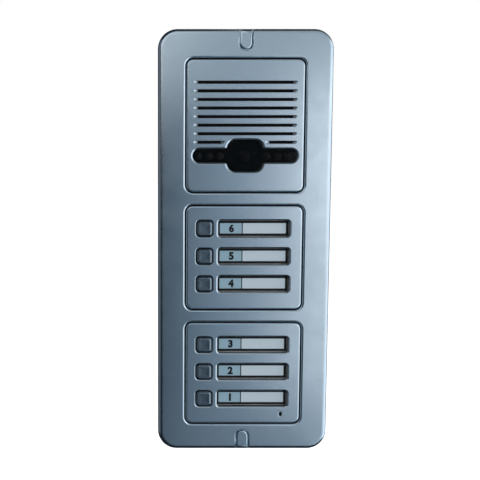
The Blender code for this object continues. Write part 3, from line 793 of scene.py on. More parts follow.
@dataclass(frozen=True)
class Cloth(Finish):
    """Black acoustic cloth in a plain weave."""

    pitch: float = 0.5 * MM

    def paint(self, painter: Painter) -> None:
        """Two sets of sine bands cross at right angles, and their product gives the weave's crowns."""
        warp, weft = (painter.bands(axis, self.pitch, 0.6) for axis in ("X", "Z"))
        crown = painter.math("MULTIPLY", warp, weft)
        painter.dress({
            "Base Color": painter.tones(crown, self.colour, 0.3, 1.7),
            "Roughness": painter.spread(painter.noise(0.2 * MM), 0.2, 0.8, 0.85, 1.0),
            "Sheen Weight": 0.15,
            "Normal": painter.bump(crown, 0.12 * MM, 0.8),
        })


@dataclass(frozen=True)
class Plated(Finish):
    """Plated, cast or turned metal with fine tool marks."""

    roughness: float = 0.3
    metallic: float = 1.0

    def paint(self, painter: Painter) -> None:
        """Stretched noise makes the marks, and a cloud dulls the plating in places."""
        marks = painter.noise(0.6 * MM, 4.0, painter.stretched((1.0, 1.0, 0.15)))
        cloud = painter.noise(6.0 * MM, 3.0)
        painter.dress({
            "Base Color": painter.tones(painter.spread(cloud, 0.35, 0.7), self.colour, 1.08, 0.75),
            "Metallic": self.metallic,
            "Roughness": painter.spread(cloud, 0.3, 0.7, self.roughness - 0.05, self.roughness + 0.12),
            "Normal": painter.bump(marks, 0.02 * MM, 0.35),
        })


@dataclass(frozen=True)
class Board(Finish):
    """Solder mask over copper: tracks under the mask and small tinned pads."""

    track: Colour = (0.03, 0.12, 0.06)
    tin: Colour = (0.42, 0.42, 0.4)
    pitch: float = 2.54 * MM

    def paint(self, painter: Painter) -> None:
        """Bent bands make the tracks, and the middles of scattered cells make the pads."""
        tracks = painter.spread(painter.bands("DIAGONAL", self.pitch, 5.0), 0.55, 0.65)
        pads = painter.spread(painter.cells(self.pitch), 0.28, 0.22)
        mask = painter.blend(painter.math("MULTIPLY", tracks, 0.8), self.colour, self.track)
        painter.dress({
            "Base Color": painter.blend(pads, mask, self.tin),
            "Metallic": painter.math("MULTIPLY", pads, 0.8),
            "Roughness": painter.spread(pads, 0.0, 1.0, 0.32, 0.22),
            "Normal": painter.bump(painter.math("ADD", tracks, pads), 0.04 * MM, 0.6),
        })


@dataclass(frozen=True)
class Ground(Finish):
    """Pale painted floor."""

    def paint(self, painter: Painter) -> None:
        """Two sizes of cloud keep the paint from being flat."""
        broad = painter.noise(0.5, 3.0)
        painter.dress({
            "Base Color": painter.tones(painter.spread(broad, 0.3, 0.7), self.colour, 0.985, 1.0),
            "Roughness": painter.spread(broad, 0.3, 0.7, 0.7, 0.8),
            "Normal": painter.bump(painter.noise(8.0 * MM, 3.0), 0.1 * MM, 0.2),
        })


class Finishes(Enum):
    """Every finish on the panel and under it."""

    BODY = Lacquer("body_lacquer", (0.56, 0.66, 0.74))
    KEYS = Lacquer("key_lacquer", (0.19, 0.245, 0.29), roughness=0.27, metallic=0.9, rubbed=2.6)
    SMOKED = Polished("smoked_acrylic", (0.001, 0.001, 0.001), opacity=0.6, roughness=0.04, level=0.2)
    CLEAR = Polished("clear_acrylic", (0.02, 0.02, 0.02), opacity=0.06, roughness=0.08)
    LENS = Polished("lens_glass", (0.012, 0.008, 0.022), roughness=0.03, ior=2.1)
    LAMP = Polished("lamp_resin", (0.62, 0.60, 0.57), roughness=0.25)
    # Painted shade: the near-black card shows as the dark ring round the cells in the name windows.
    CARD_SHADE = Card("card_painted_shade", (0.006, 0.007, 0.009))
    # The two cells glow with painted light.
    NUMBER_CELL = Card("card_number_cell", (0.52, 0.72, 0.80), 0.14, (0.43, 0.74, 1.0))
    NAME_CELL = Card("card_name_cell", (0.78, 0.90, 0.96), 0.23, (0.73, 0.87, 1.0))
    INK = Card("numeral_ink", (0.004, 0.004, 0.006))
    BLACK = Moulded("black_plastic", (0.006, 0.006, 0.007))
    HOUSING = Moulded("housing_plastic", (0.03, 0.031, 0.034), roughness=0.5, grain=0.4 * MM)
    CONNECTOR = Moulded("connector_plastic", (0.05, 0.24, 0.10), roughness=0.45)
    DIFFUSER = Moulded("light_guide_plastic", (0.75, 0.77, 0.75), roughness=0.5)
    RUBBER = Moulded("black_rubber", (0.012, 0.012, 0.013), roughness=0.8, grain=0.5 * MM)
    CLOTH = Cloth("acoustic_cloth", (0.003, 0.003, 0.0035))
    CONE = Card("cone_paper", (0.03, 0.03, 0.032))
    STEEL = Plated("zinc_plated_steel", (0.62, 0.63, 0.64))
    FERRITE = Plated("ferrite", (0.08, 0.08, 0.085), roughness=0.6, metallic=0.4)
    BOARD = Board("green_board", (0.012, 0.09, 0.04))
    MASKED_BOARD = Board("black_board", (0.006, 0.006, 0.007), track=(0.01, 0.01, 0.011))
    FLOOR = Ground("pale_floor", (0.86, 0.87, 0.88))


# The panel's sub-assemblies


@dataclass(frozen=True)
class Room:
    """The box that a CAD node fills: its middle, its size and its two depths."""

    x: float
    z: float
    width: float
    height: float
    back: float
    front: float


def room(node: str) -> Room:
    """Returns the room of a CAD node at rest."""
    low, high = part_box(node)
    return Room((low.x + high.x) / 2, (low.z + high.z) / 2, high.x - low.x, high.z - low.z, -high.y, -low.y)


@dataclass(frozen=True)
class ModuleFit:
    """How a module's face plate sits in the bezel."""

    gap: float = 0.3 * MM
    flange_reach: float = 2.0 * MM
    corner: float = 5.5 * MM

    def opening(self, node: str) -> RoundedBlock:
        """Returns the bezel's opening for a face plate, which its flange overlaps from behind."""
        flange = room(node)
        lap = 2 * self.flange_reach
        return RoundedBlock(flange.x, flange.z, flange.width - lap, flange.height - lap, self.corner)


PLATES = ("speaker_camera_plate", "upper_button_plate", "lower_button_plate")
FIT = ModuleFit()


@dataclass
class ScrewPocket:
    """The U-shaped pocket at one end of the bezel, and the cover that slides out of it."""

    side: str
    sign: int
    half_width: float = 4.85 * MM
    gap: float = 0.3 * MM
    floor: float = 36.5 * MM
    screw_height: float = 142.9 * MM
    screw_hole: float = 2.2 * MM
    screw_point: float = 12.0 * MM
    head_radius: float = 3.5 * MM
    shank_radius: float = 1.8 * MM
    socket_radius: float = 1.7 * MM
    socket_depth: float = 1.4 * MM
    groove_reach: float = 1.15 * MM
    groove: Pair = (39.1 * MM, 40.7 * MM)
    rail: Pair = (39.4 * MM, 40.4 * MM)
    cover_back: float = 39.5 * MM
    end_wall: Pair = (36.8 * MM, 41.0 * MM)
    end_wall_thick: float = 1.7 * MM
    rim: float = 0.75 * MM
    shrink: float = 0.5 * MM
    past: float = 12.0 * MM

    def outline(self, grow: float, end: float) -> RoundedBlock:
        """Returns a U that is round about the screw and square at its outer end.

        Args:
            grow: How far the U is wider than the pocket, to each side.
            end: The height of the square end, from the panel's middle.

        Returns:
            The outline, for the top or the bottom of the panel.
        """
        half = self.half_width + grow
        start = self.screw_height - half
        round_end, square_end = half * 0.998, 0.05 * MM
        corners = (square_end, round_end) if self.sign > 0 else (round_end, square_end)
        return RoundedBlock(0.0, self.sign * (start + end) / 2, 2 * half, end - start, *corners, steps=14)

    def cutters(self, face: float, edge: float) -> list[Piece]:
        """Makes the solids that are taken out of the bezel: the pocket with its flared rim, rails and hole.

        Args:
            face: The depth of the bezel's face.
            edge: The height of the bezel's edge.

        Returns:
            The cutters.
        """
        above = face + 0.015 * MM
        pocket = section([
            Bend(-1.5 * MM, self.floor),
            Bend(0.0, self.floor, 0.5 * MM),
            Bend(0.0, above, self.rim),
            Bend(3.0 * MM, above),
            Bend(3.0 * MM, face + 4 * MM),
            Bend(-1.5 * MM, face + 4 * MM),
        ], 7)
        # The pocket wall takes painted shade below a quarter of its rim, and the bezel keeps it after the
        # cut.
        wall = self.outline(0.0, edge + self.past), painted_recess_shade(pocket, face - self.rim / 4)
        groove = self.outline(self.groove_reach, edge + self.past + MM)
        hole = Disc(0.0, self.sign * self.screw_height, self.screw_hole, 32)
        return [
            walled("pocket", [wall], Finishes.BODY),
            slab("rail_groove", groove, *self.groove, Finishes.BODY),
            slab("screw_hole", hole, self.floor - 14 * MM, self.floor + MM, Finishes.BODY),
        ]

    def build(self, envelope: Piece) -> None:
        """Makes the cover, trimmed to the bezel's rounded edge, and its screw.

        Args:
            envelope: A solid of the bezel's outer shape; a copy of it trims the cover.
        """
        node = self.side + "_screw_cover"
        box = room(node)
        edge = box.height + self.screw_height - self.half_width + self.gap
        reach = edge + self.past
        face = self.outline(-self.gap - self.shrink, reach)
        body = self.side + "_cover"
        cover = slab(body, face, self.cover_back, box.front, Finishes.BODY, self.rim, 0.1 * MM)
        guide = self.outline(self.groove_reach - 0.4 * MM, reach - MM)
        end_wall = RoundedBlock(
            0.0, self.sign * (edge - self.end_wall_thick / 2), 2 * (self.half_width - self.gap) - 0.2 * MM,
            self.end_wall_thick, 0.3 * MM,
        )
        Carve.JOIN.apply(cover, [
            slab("rail", guide, *self.rail, Finishes.BODY, 0.15 * MM, 0.15 * MM),
            slab("end_wall", end_wall, *self.end_wall, Finishes.BODY, 0.1 * MM, 0.3 * MM),
        ])
        Carve.TRIM.apply(cover, [put("trim", envelope.data.copy())])
        level_shading(cover)
        settle(cover, [node], body)
        self.build_screw()

    def build_screw(self) -> None:
        """Makes the pan-head screw: a turned head and shank with a hexagonal socket."""
        node = self.side + "_fixing_screw"
        box = room(node)
        under = self.floor + self.gap
        head = section([
            Bend(0.0, box.front),
            Bend(self.head_radius, box.front, 0.9 * MM, 1.0),
            Bend(self.head_radius, under, 0.15 * MM),
            Bend(self.shank_radius, under),
            Bend(self.shank_radius, self.screw_point + 0.6 * MM),
            Bend(self.shank_radius - 0.6 * MM, self.screw_point),
            Bend(0.0, self.screw_point),
        ])
        screw = turned(self.side + "_screw", box, head, Finishes.STEEL, 40)
        hexagon = Disc(box.x, box.z, self.socket_radius, 6, math.pi / 6)
        socket = slab("socket", hexagon, box.front - self.socket_depth, box.front + MM, Finishes.STEEL)
        Carve.CUT.apply(screw, [socket])
        level_shading(screw)
        settle(screw, [node])


@dataclass
class FrontBezel:
    """The die-cast frame with its three openings, its skirt and its two screw pockets."""

    pockets: Sequence[ScrewPocket]
    corner: float = 14.0 * MM
    edge: float = 3.2 * MM
    skin: float = 3.2 * MM
    skirt_wall: float = 2.6 * MM
    ledge_wall: float = 6.0 * MM
    ledge_end: float = 26.3 * MM
    opening_rim: float = 1.35 * MM
    boss_heights: Pair = (136.1 * MM, 146.6 * MM)
    boss_width: float = 18.0 * MM
    boss_back: float = 24.3 * MM
    box: Room = field(default_factory=lambda: room("front_bezel"))

    @property
    def outline(self) -> RoundedBlock:
        """The bezel's outer edge."""
        return RoundedBlock(self.box.x, self.box.z, self.box.width, self.box.height, self.corner, steps=16)

    def envelope(self) -> Piece:
        """Makes a plain solid of the bezel's outer shape, for trimming the screw covers."""
        return slab("envelope", self.outline, self.box.back, self.box.front, Finishes.BODY, self.edge)

    def build(self) -> None:
        """Makes the frame.

        Formula: one section is carried round the outer edge, over the rounded face, down the skirt and back
        up inside it, and one round each opening. Flat fills between the rings close the face and its back.
        """
        face, behind = self.box.front, self.box.front - self.skin
        outer = section([
            Bend(-1.3 * self.edge, face),
            Bend(0.0, face, self.edge, 0.5),
            Bend(0.0, self.box.back, 0.5 * MM),
            Bend(-self.skirt_wall, self.box.back, 0.4 * MM),
            Bend(-self.skirt_wall, self.ledge_end),
            Bend(-self.ledge_wall, self.ledge_end, 0.4 * MM),
            Bend(-self.ledge_wall, behind, 0.8 * MM),
            Bend(-self.ledge_wall - 1.2 * MM, behind),
        ], 9)
        around = section([
            Bend(1.25 * self.opening_rim, face),
            Bend(0.0, face, self.opening_rim, 1.0),
            Bend(0.0, behind, 0.3 * MM),
            Bend(0.6 * MM, behind),
        ], 7)
        # Painted shade on each opening's rim below half its depth and down its wall.
        around = painted_recess_shade(around, face - self.opening_rim / 2)
        walls = [(self.outline, outer), *((FIT.opening(node), around) for node in PLATES)]
        bezel = walled("bezel", walls, Finishes.BODY)
        Carve.JOIN.apply(bezel, self.bosses())
        edge = self.box.height / 2
        Carve.CUT.apply(bezel, [tool for pocket in self.pockets for tool in pocket.cutters(face, edge)])
        level_shading(bezel)
        settle(bezel, ["front_bezel"])

    def bosses(self) -> list[Piece]:
        """Makes the blocks behind the face that the fixing screws go through."""
        start, end = self.boss_heights
        front = self.box.front - self.skin / 2
        middles = (sign * (start + end) / 2 for sign in (1, -1))
        blocks = (RoundedBlock(0.0, middle, self.boss_width, end - start, MM) for middle in middles)
        return [slab("boss", block, self.boss_back, front, Finishes.BODY, foot=0.4 * MM) for block in blocks]


@dataclass(frozen=True)
class Hole:
    """A hole through a face plate: its outline, the section of its wall and how deep its painted shade
    starts.
    """

    outline: Outline
    wall: Sequence[Bend]
    clean: float


@dataclass
class FacePlate:
    """A module's cast face plate: a boss in the bezel's opening, a flange behind it and a hollow back."""

    node: str
    rim: float = 1.15 * MM
    skin: float = 2.4 * MM
    wall: float = 2.0 * MM
    shrink: float = 0.45 * MM
    flange_drop: float = 3.5 * MM
    flange_thick: float = 1.6 * MM

    @property
    def box(self) -> Room:
        """The plate's room."""
        return room(self.node)

    def bevelled(self, outline: Outline, width: float, drop: float) -> Hole:
        """Returns a hole with a sloped rim.

        Args:
            outline: The hole's outline below the slope.
            width: How wide the slope is, seen from the front.
            drop: How deep the slope goes.

        Returns:
            The hole.
        """
        face = self.box.front
        return Hole(outline, [
            Bend(width + 0.5 * MM, face),
            Bend(width, face, 0.45 * MM, 1.0),
            Bend(0.0, face - drop, 0.3 * MM, 0.5),
            Bend(0.0, face - self.skin),
            Bend(0.35 * MM, face - self.skin),
        ], 0.8 * drop)

    def holes(self) -> list[Hole]:
        """Returns the plate's holes; a plain plate has none."""
        return []

    def build(self) -> None:
        """Makes the plate.

        Formula: one section runs from the face over the rounded rim, out to the flange and back into the
        hollow, carried round the boss, and each hole's section is carried round the hole.
        """
        face = self.box.front
        flange_front = face - self.flange_drop
        flange_back = flange_front - self.flange_thick
        inside, out, hollow = -FIT.gap - self.shrink, FIT.flange_reach, -FIT.gap - self.wall
        body = section([
            Bend(inside - 1.3 * self.rim, face),
            Bend(inside, face, self.rim, 1.0),
            Bend(inside, flange_front),
            Bend(out, flange_front, 0.3 * MM),
            Bend(out, flange_back, 0.3 * MM),
            Bend(hollow, flange_back, 0.3 * MM),
            Bend(hollow, face - self.skin, 0.4 * MM),
            Bend(hollow - 0.7 * MM, face - self.skin),
        ], 7)
        # Painted shade on the plate's rim below half its depth and down its wall, and on each hole's wall
        # from where its shade starts.
        walls = [(FIT.opening(self.node), painted_recess_shade(body, face - self.rim / 2))]
        walls += [(hole.outline, painted_recess_shade(section(hole.wall, 4), face - hole.clean)) for hole in self.holes()]
        plate = walled(self.node.replace("_plate", "_face"), walls, Finishes.BODY)
        settle(plate, [self.node])


@dataclass
class SpeakerPlate(FacePlate):
    """The top plate, with its sound slots and the opening for the smoked window."""

    node: str = "speaker_camera_plate"
    slot_rows: int = 8
    slot_pitch: float = 6.03 * MM
    slot_top: float = 115.7 * MM
    slot_size: Pair = (73.2 * MM, 2.3 * MM)
    slot_stop: float = 14.8 * MM
    slot_ramp: float = 2.4 * MM
    slot_taper: float = 0.2 * MM
    slot_straight: float = 1.3 * MM
    # Depth below the face where the slot walls' painted shade starts.
    slot_shade_start: float = 1.1 * MM

    def slot(self, x: float, z: float, length: float) -> Hole:
        """Returns one sound slot, whose walls are nearly upright and whose ends are long ramps.

        Args:
            x: Its middle across.
            z: Its height.
            length: Its length at the face.

        Returns:
            The slot.
        """
        face, height = self.box.front, self.slot_size[1]
        reach = self.slot_ramp / self.slot_taper
        return Hole(RoundedBlock(x, z, length, height, height * 0.49, reach=reach, steps=6), [
            Bend(0.04 * MM, face),
            Bend(0.0, face),
            Bend(-self.slot_taper, face - self.slot_straight),
            Bend(-self.slot_taper, face - self.skin),
            Bend(-0.75 * self.slot_taper, face - self.skin),
        ], self.slot_shade_start)

    def holes(self) -> list[Hole]:
        """Returns the slots, the lowest of which the window interrupts, and the window's opening."""
        length = self.slot_size[0]
        *heights, lowest = (self.slot_top - row * self.slot_pitch for row in range(self.slot_rows))
        part = length / 2 - self.slot_stop
        whole = [self.slot(0.0, height, length) for height in heights]
        halves = [self.slot(side * (self.slot_stop + part / 2), lowest, part) for side in (-1, 1)]
        return [*whole, *halves, self.bevelled(WINDOW_OPENING, 1.1 * MM, 0.7 * MM)]


WINDOW_OPENING = BarAndBody(
    z=room("camera_window").z,
    bar=(75.2 * MM, 9.8 * MM),
    body=(26.2 * MM, 22.8 * MM),
    bar_corner=4.8 * MM,
    body_corner=6.2 * MM,
)


@dataclass
class ButtonPlate(FacePlate):
    """A lower plate, with a square hole and a name window for each button."""

    numbers: Sequence[int] = ()
    key_hole: float = 12.1 * MM
    key_corner: float = 2.8 * MM
    name_size: Pair = (52.1 * MM, 12.1 * MM)
    name_corner: float = 2.2 * MM
    sound_hole: Pair | None = None

    def holes(self) -> list[Hole]:
        """Returns the holes for the buttons and name windows, and the microphone's where it has one."""
        made = []
        for number in self.numbers:
            key, name = room(f"call_button_{number}"), room(f"name_cover_{number}")
            square = RoundedBlock(key.x, key.z, self.key_hole, self.key_hole, self.key_corner)
            window = RoundedBlock(name.x, name.z, *self.name_size, self.name_corner)
            made.append(self.bevelled(square, 0.7 * MM, 0.5 * MM))
            made.append(self.bevelled(window, 0.9 * MM, 0.6 * MM))
        if self.sound_hole:
            place = room("microphone")
            hole = RoundedBlock(place.x, place.z, *self.sound_hole, 0.49 * self.sound_hole[0], steps=6)
            made.append(self.bevelled(hole, 0.35 * MM, 0.3 * MM))
        return made


@dataclass
class CallButton:
    """A square cap with a sloped, dished face, a retaining flange and a stem."""

    number: int
    slope: float = 1.2 * MM
    slope_drop: float = 0.9 * MM
    dish: float = 0.1 * MM
    corner: float = 2.45 * MM
    cap: float = 11.0 * MM
    stem: float = 4.0 * MM
    flange_front: float = 39.3 * MM
    flange_thick: float = 1.2 * MM

    def build(self) -> None:
        """Makes the cap.

        Formula: a section runs from the flat of the cap down its slope and side, out round the flange and in
        behind it, carried round the cap's outline. The face is a shallow dish, and the stem's outline and
        the flange's inner ring are joined by a flat fill.
        """
        node = f"call_button_{self.number}"
        box = room(node)
        flange = (box.width - self.cap) / 2
        flange_back = self.flange_front - self.flange_thick
        outline = RoundedBlock(box.x, box.z, self.cap, self.cap, self.corner, steps=7)
        profile = section([
            Bend(-self.slope - 0.6 * MM, box.front),
            Bend(-self.slope, box.front, 0.35 * MM, 1.0),
            Bend(0.0, box.front - self.slope_drop, 0.5 * MM, 0.6),
            Bend(0.0, self.flange_front),
            Bend(flange, self.flange_front, 0.2 * MM),
            Bend(flange, flange_back, 0.2 * MM),
            Bend(-1.4 * MM, flange_back),
        ], 4)
        stem_outline = RoundedBlock(box.x, box.z, self.stem, self.stem, 0.5 * MM, steps=4)
        stem_bends = [Bend(0.0, flange_back), Bend(0.0, box.back, 0.3 * MM), Bend(-0.7 * MM, box.back)]
        shell = Shell()
        # Painted shade on the cap's slope below most of its drop and down its side.
        face_ring, flange_ring = shell.sweep(outline, painted_recess_shade(profile, box.front - 0.85 * self.slope_drop))
        stem_ring, stem_end = shell.sweep(stem_outline, section(stem_bends, 3))
        shell.dish(face_ring, self.dish)
        shell.fill([flange_ring, stem_ring])
        shell.fill([stem_end])
        settle(shell.piece(f"button_{self.number}", Finishes.KEYS), [node], node)


@dataclass
class NameWindow:
    """A clear cover over a printed card with a number cell and a name cell."""

    number: int
    cover_size: Pair = (51.5 * MM, 11.5 * MM)
    cover_corner: float = 1.9 * MM
    lip_front: float = 39.3 * MM
    number_cell: Pair = (-17.4 * MM, -1.4 * MM)
    name_cell: Pair = (-0.7 * MM, 30.7 * MM)
    cell_height: float = 7.6 * MM
    cell_rise: float = 0.12 * MM
    numeral_x: float = -8.9 * MM
    numeral_height: float = 5.8 * MM
    numeral_weight: float = 0.055
    ink: float = 0.04 * MM
    clearance: float = 0.01 * MM

    def build(self) -> None:
        """Makes the cover, the card, its two cells and the numeral."""
        self.build_cover()
        node = f"name_card_{self.number}"
        card = room(node)
        sheet = RoundedBlock(card.x, card.z, card.width, card.height, MM)
        # The card's near-black finish is painted shade round the cells.
        base = slab(f"card_{self.number}", sheet, card.back, card.front, Finishes.CARD_SHADE, 0.05 * MM, 0.05 * MM)
        settle(base, [node])
        front = card.front + self.cell_rise
        cells = (
            ("number_cell", self.number_cell, Finishes.NUMBER_CELL),
            ("name_cell", self.name_cell, Finishes.NAME_CELL),
        )
        for name, (left, right), finish in cells:
            middle, width = (left + right) / 2, right - left
            patch = RoundedBlock(middle, card.z, width, self.cell_height, 0.3 * MM, steps=3)
            back = card.front + self.clearance
            settle(slab(f"{name}_{self.number}", patch, back, front, finish, 0.03 * MM))
        self.build_numeral(card.z, front + self.clearance)

    def build_cover(self) -> None:
        """Makes the cover: one section from its face over a rounded rim to the lip behind the plate."""
        node = f"name_cover_{self.number}"
        box = room(node)
        lip = (box.width - self.cover_size[0]) / 2
        outline = RoundedBlock(box.x, box.z, *self.cover_size, self.cover_corner)
        profile = section([
            Bend(-1.2 * MM, box.front),
            Bend(0.0, box.front, 0.6 * MM),
            Bend(0.0, self.lip_front),
            Bend(lip, self.lip_front, 0.2 * MM),
            Bend(lip, box.back, 0.2 * MM),
            Bend(-1.2 * MM, box.back),
        ], 4)
        cover = walled(f"name_glass_{self.number}", [(outline, profile)], Finishes.CLEAR)
        settle(cover, [node])

    def build_numeral(self, z: float, depth: float) -> None:
        """Makes the row's number in ink, as a thin solid.

        Args:
            z: The middle height of the card.
            depth: The depth that the ink lies on.
        """
        name = f"numeral_{self.number}"
        curve = bpy.data.curves.new(name, "FONT")
        curve.body = str(self.number)
        curve.extrude = 0.5
        curve.resolution_u = 8
        curve.offset = self.numeral_weight
        text = put(name + "_text", curve)
        bpy.context.view_layer.update()
        data = bpy.data.meshes.new_from_object(text.evaluated_get(bpy.context.evaluated_depsgraph_get()))
        bpy.data.objects.remove(text)
        points = np.empty(len(data.vertices) * 3)
        data.vertices.foreach_get("co", points)
        points = points.reshape(-1, 3)
        low, high = points.min(0), points.max(0)
        scale = self.numeral_height / (high[1] - low[1])
        points -= (low + high) / 2
        placed = np.stack([
            self.numeral_x + points[:, 0] * scale,
            -(depth + self.ink / 2 + points[:, 2] * self.ink),
            z + points[:, 1] * scale,
        ], axis=-1)
        data.vertices.foreach_set("co", placed.reshape(-1).astype(np.float32))
        weld(data)
        data.materials.clear()
        data.materials.append(Finishes.INK.value.material())
        settle(put(name, data))


@dataclass
class CameraUnit:
    """The smoked window with the lens, its barrel and the six lamps behind it."""

    lip_front: float = 39.3 * MM
    lip: float = 1.0 * MM
    gap: float = 0.3 * MM
    bore: float = 5.3 * MM
    barrel: float = 6.8 * MM
    barrel_foot: float = 7.1 * MM
    groove_floor: float = 6.4 * MM
    bore_floor: float = 33.8 * MM
    foot_top: float = 32.0 * MM
    lens_rise: float = 1.4 * MM
    lamp_radius: float = 2.5 * MM
    collar: float = 1.0 * MM

    def build(self) -> None:
        """Makes the window and what shows through it."""
        self.build_window()
        self.build_barrel()
        for number in NUMBERS:
            self.build_lamp(number)

    def build_window(self) -> None:
        """Makes the window: one section from its polished face over its rim to the lip."""
        box = room("camera_window")
        profile = section([
            Bend(-self.gap - 1.3 * MM, box.front),
            Bend(-self.gap, box.front, 0.9 * MM),
            Bend(-self.gap, self.lip_front),
            Bend(self.lip, self.lip_front, 0.2 * MM),
            Bend(self.lip, box.back, 0.2 * MM),
            Bend(-self.gap - 1.0 * MM, box.back),
        ], 6)
        window = walled("window", [(WINDOW_OPENING, profile)], Finishes.SMOKED)
        settle(window, ["camera_window"])

    def build_barrel(self) -> None:
        """Turns the barrel with its stepped mouth, and the domed lens in it."""
        box = room("camera_barrel")
        front = box.front
        profile = section([
            Bend(self.bore, self.bore_floor),
            Bend(self.bore, front - 0.9 * MM),
            Bend(5.9 * MM, front - 0.3 * MM),
            Bend(6.2 * MM, front, 0.1 * MM, 1.0),
            Bend(self.barrel, front, 0.25 * MM, 1.0),
            Bend(self.barrel, front - 2.2 * MM),
            Bend(self.groove_floor, front - 2.4 * MM),
            Bend(self.groove_floor, front - 2.9 * MM),
            Bend(self.barrel, front - 3.1 * MM),
            Bend(self.barrel, self.foot_top),
            Bend(self.barrel_foot, self.foot_top - 0.2 * MM),
            Bend(self.barrel_foot, box.back, 0.3 * MM),
            Bend(0.0, box.back),
            Bend(0.0, self.bore_floor),
            Bend(self.bore, self.bore_floor),
        ], 3)
        settle(turned("barrel", box, profile, Finishes.BLACK, 64), ["camera_barrel"])
        glass = room("camera_lens")
        radius = glass.width / 2
        foot = np.array([[radius, glass.back, 0.0], [0.0, glass.back, 0.0]])
        profile = np.concatenate([dome(radius, glass.front, self.lens_rise, 12), foot])
        settle(turned("lens", box, profile, Finishes.LENS, 64), ["camera_lens"])

    def build_lamp(self, number: int) -> None:
        """Turns one lamp: a dome on a cylinder with a collar at its foot."""
        node = f"ir_lamp_{number}"
        lamp = room(node)
        radius, collar_front = self.lamp_radius, lamp.back + self.collar
        foot = section([
            Bend(radius, lamp.front - radius - 0.5 * MM),
            Bend(radius, collar_front),
            Bend(lamp.width / 2, collar_front, 0.2 * MM),
            Bend(lamp.width / 2, lamp.back),
            Bend(0.0, lamp.back),
        ], 3)
        profile = np.concatenate([dome(radius, lamp.front, radius, 8), foot])
        settle(turned(f"lamp_{number}", lamp, profile, Finishes.LAMP, 32), [node])


@dataclass
class Interior:
    """The CAD nodes that keep their shape, which lie behind the face or on the wall side."""

    dress: dict[Finishes, Sequence[str]] = field(default_factory=lambda: {
        Finishes.CLOTH: ["speaker_cloth"],
        Finishes.RUBBER: ["speaker_gasket", "microphone_boot", "box_seal"],
        Finishes.STEEL: ["speaker_basket", "microphone"],
        Finishes.CONE: ["speaker_cone"],
        Finishes.FERRITE: ["speaker_magnet"],
        Finishes.MASKED_BOARD: ["camera_board"],
        Finishes.BLACK: [
            "speaker_camera_carrier", "upper_button_carrier", "lower_button_carrier",
            *(f"button_switch_{number}" for number in NUMBERS),
        ],
        Finishes.BOARD: ["upper_button_board", "lower_button_board", "main_board"],
        Finishes.DIFFUSER: ["upper_light_guide", "lower_light_guide"],
        Finishes.HOUSING: ["back_box"],
        Finishes.CONNECTOR: ["terminal_block"],
    })

    def build(self) -> None:
        """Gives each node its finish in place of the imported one."""
        for finish, nodes in self.dress.items():
            for node in nodes:
                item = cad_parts[node]
                if not item.material_slots:
                    item.data.materials.append(None)
                for slot in item.material_slots:
                    slot.material = finish.value.material()
                log.info("%s keeps its shape, in %s", node, finish.value.name)


# Studio


@dataclass(frozen=True)
class SoftBox:
    """A rectangular studio light that faces the panel.

    Azimuth is 0 in front of the panel and 90 on its right. The angles and the spreads, which say how wide
    and how high the light looks from the panel, are in degrees.
    """

    name: str
    azimuth: float
    elevation: float
    spreads: Pair
    brightness: float
    colour: Colour = (1.0, 1.0, 1.0)
    distance: float = 1.3

    def build(self) -> None:
        """Adds the light."""
        lamp = bpy.data.lights.new(self.name, "AREA")
        lamp.shape = "RECTANGLE"
        halves = (math.tan(math.radians(spread / 2)) for spread in self.spreads)
        lamp.size, lamp.size_y = (2 * self.distance * half for half in halves)
        lamp.energy = math.pi * lamp.size * lamp.size_y * self.brightness
        lamp.color = self.colour
        azimuth, elevation = math.radians(self.azimuth), math.radians(self.elevation)
        level = math.cos(elevation)
        away = Vector((math.sin(azimuth) * level, -math.cos(azimuth) * level, math.sin(elevation)))
        item = put(self.name, lamp)
        item.location = away * self.distance
        item.rotation_euler = (-away).to_track_quat("-Z", "Y").to_euler()


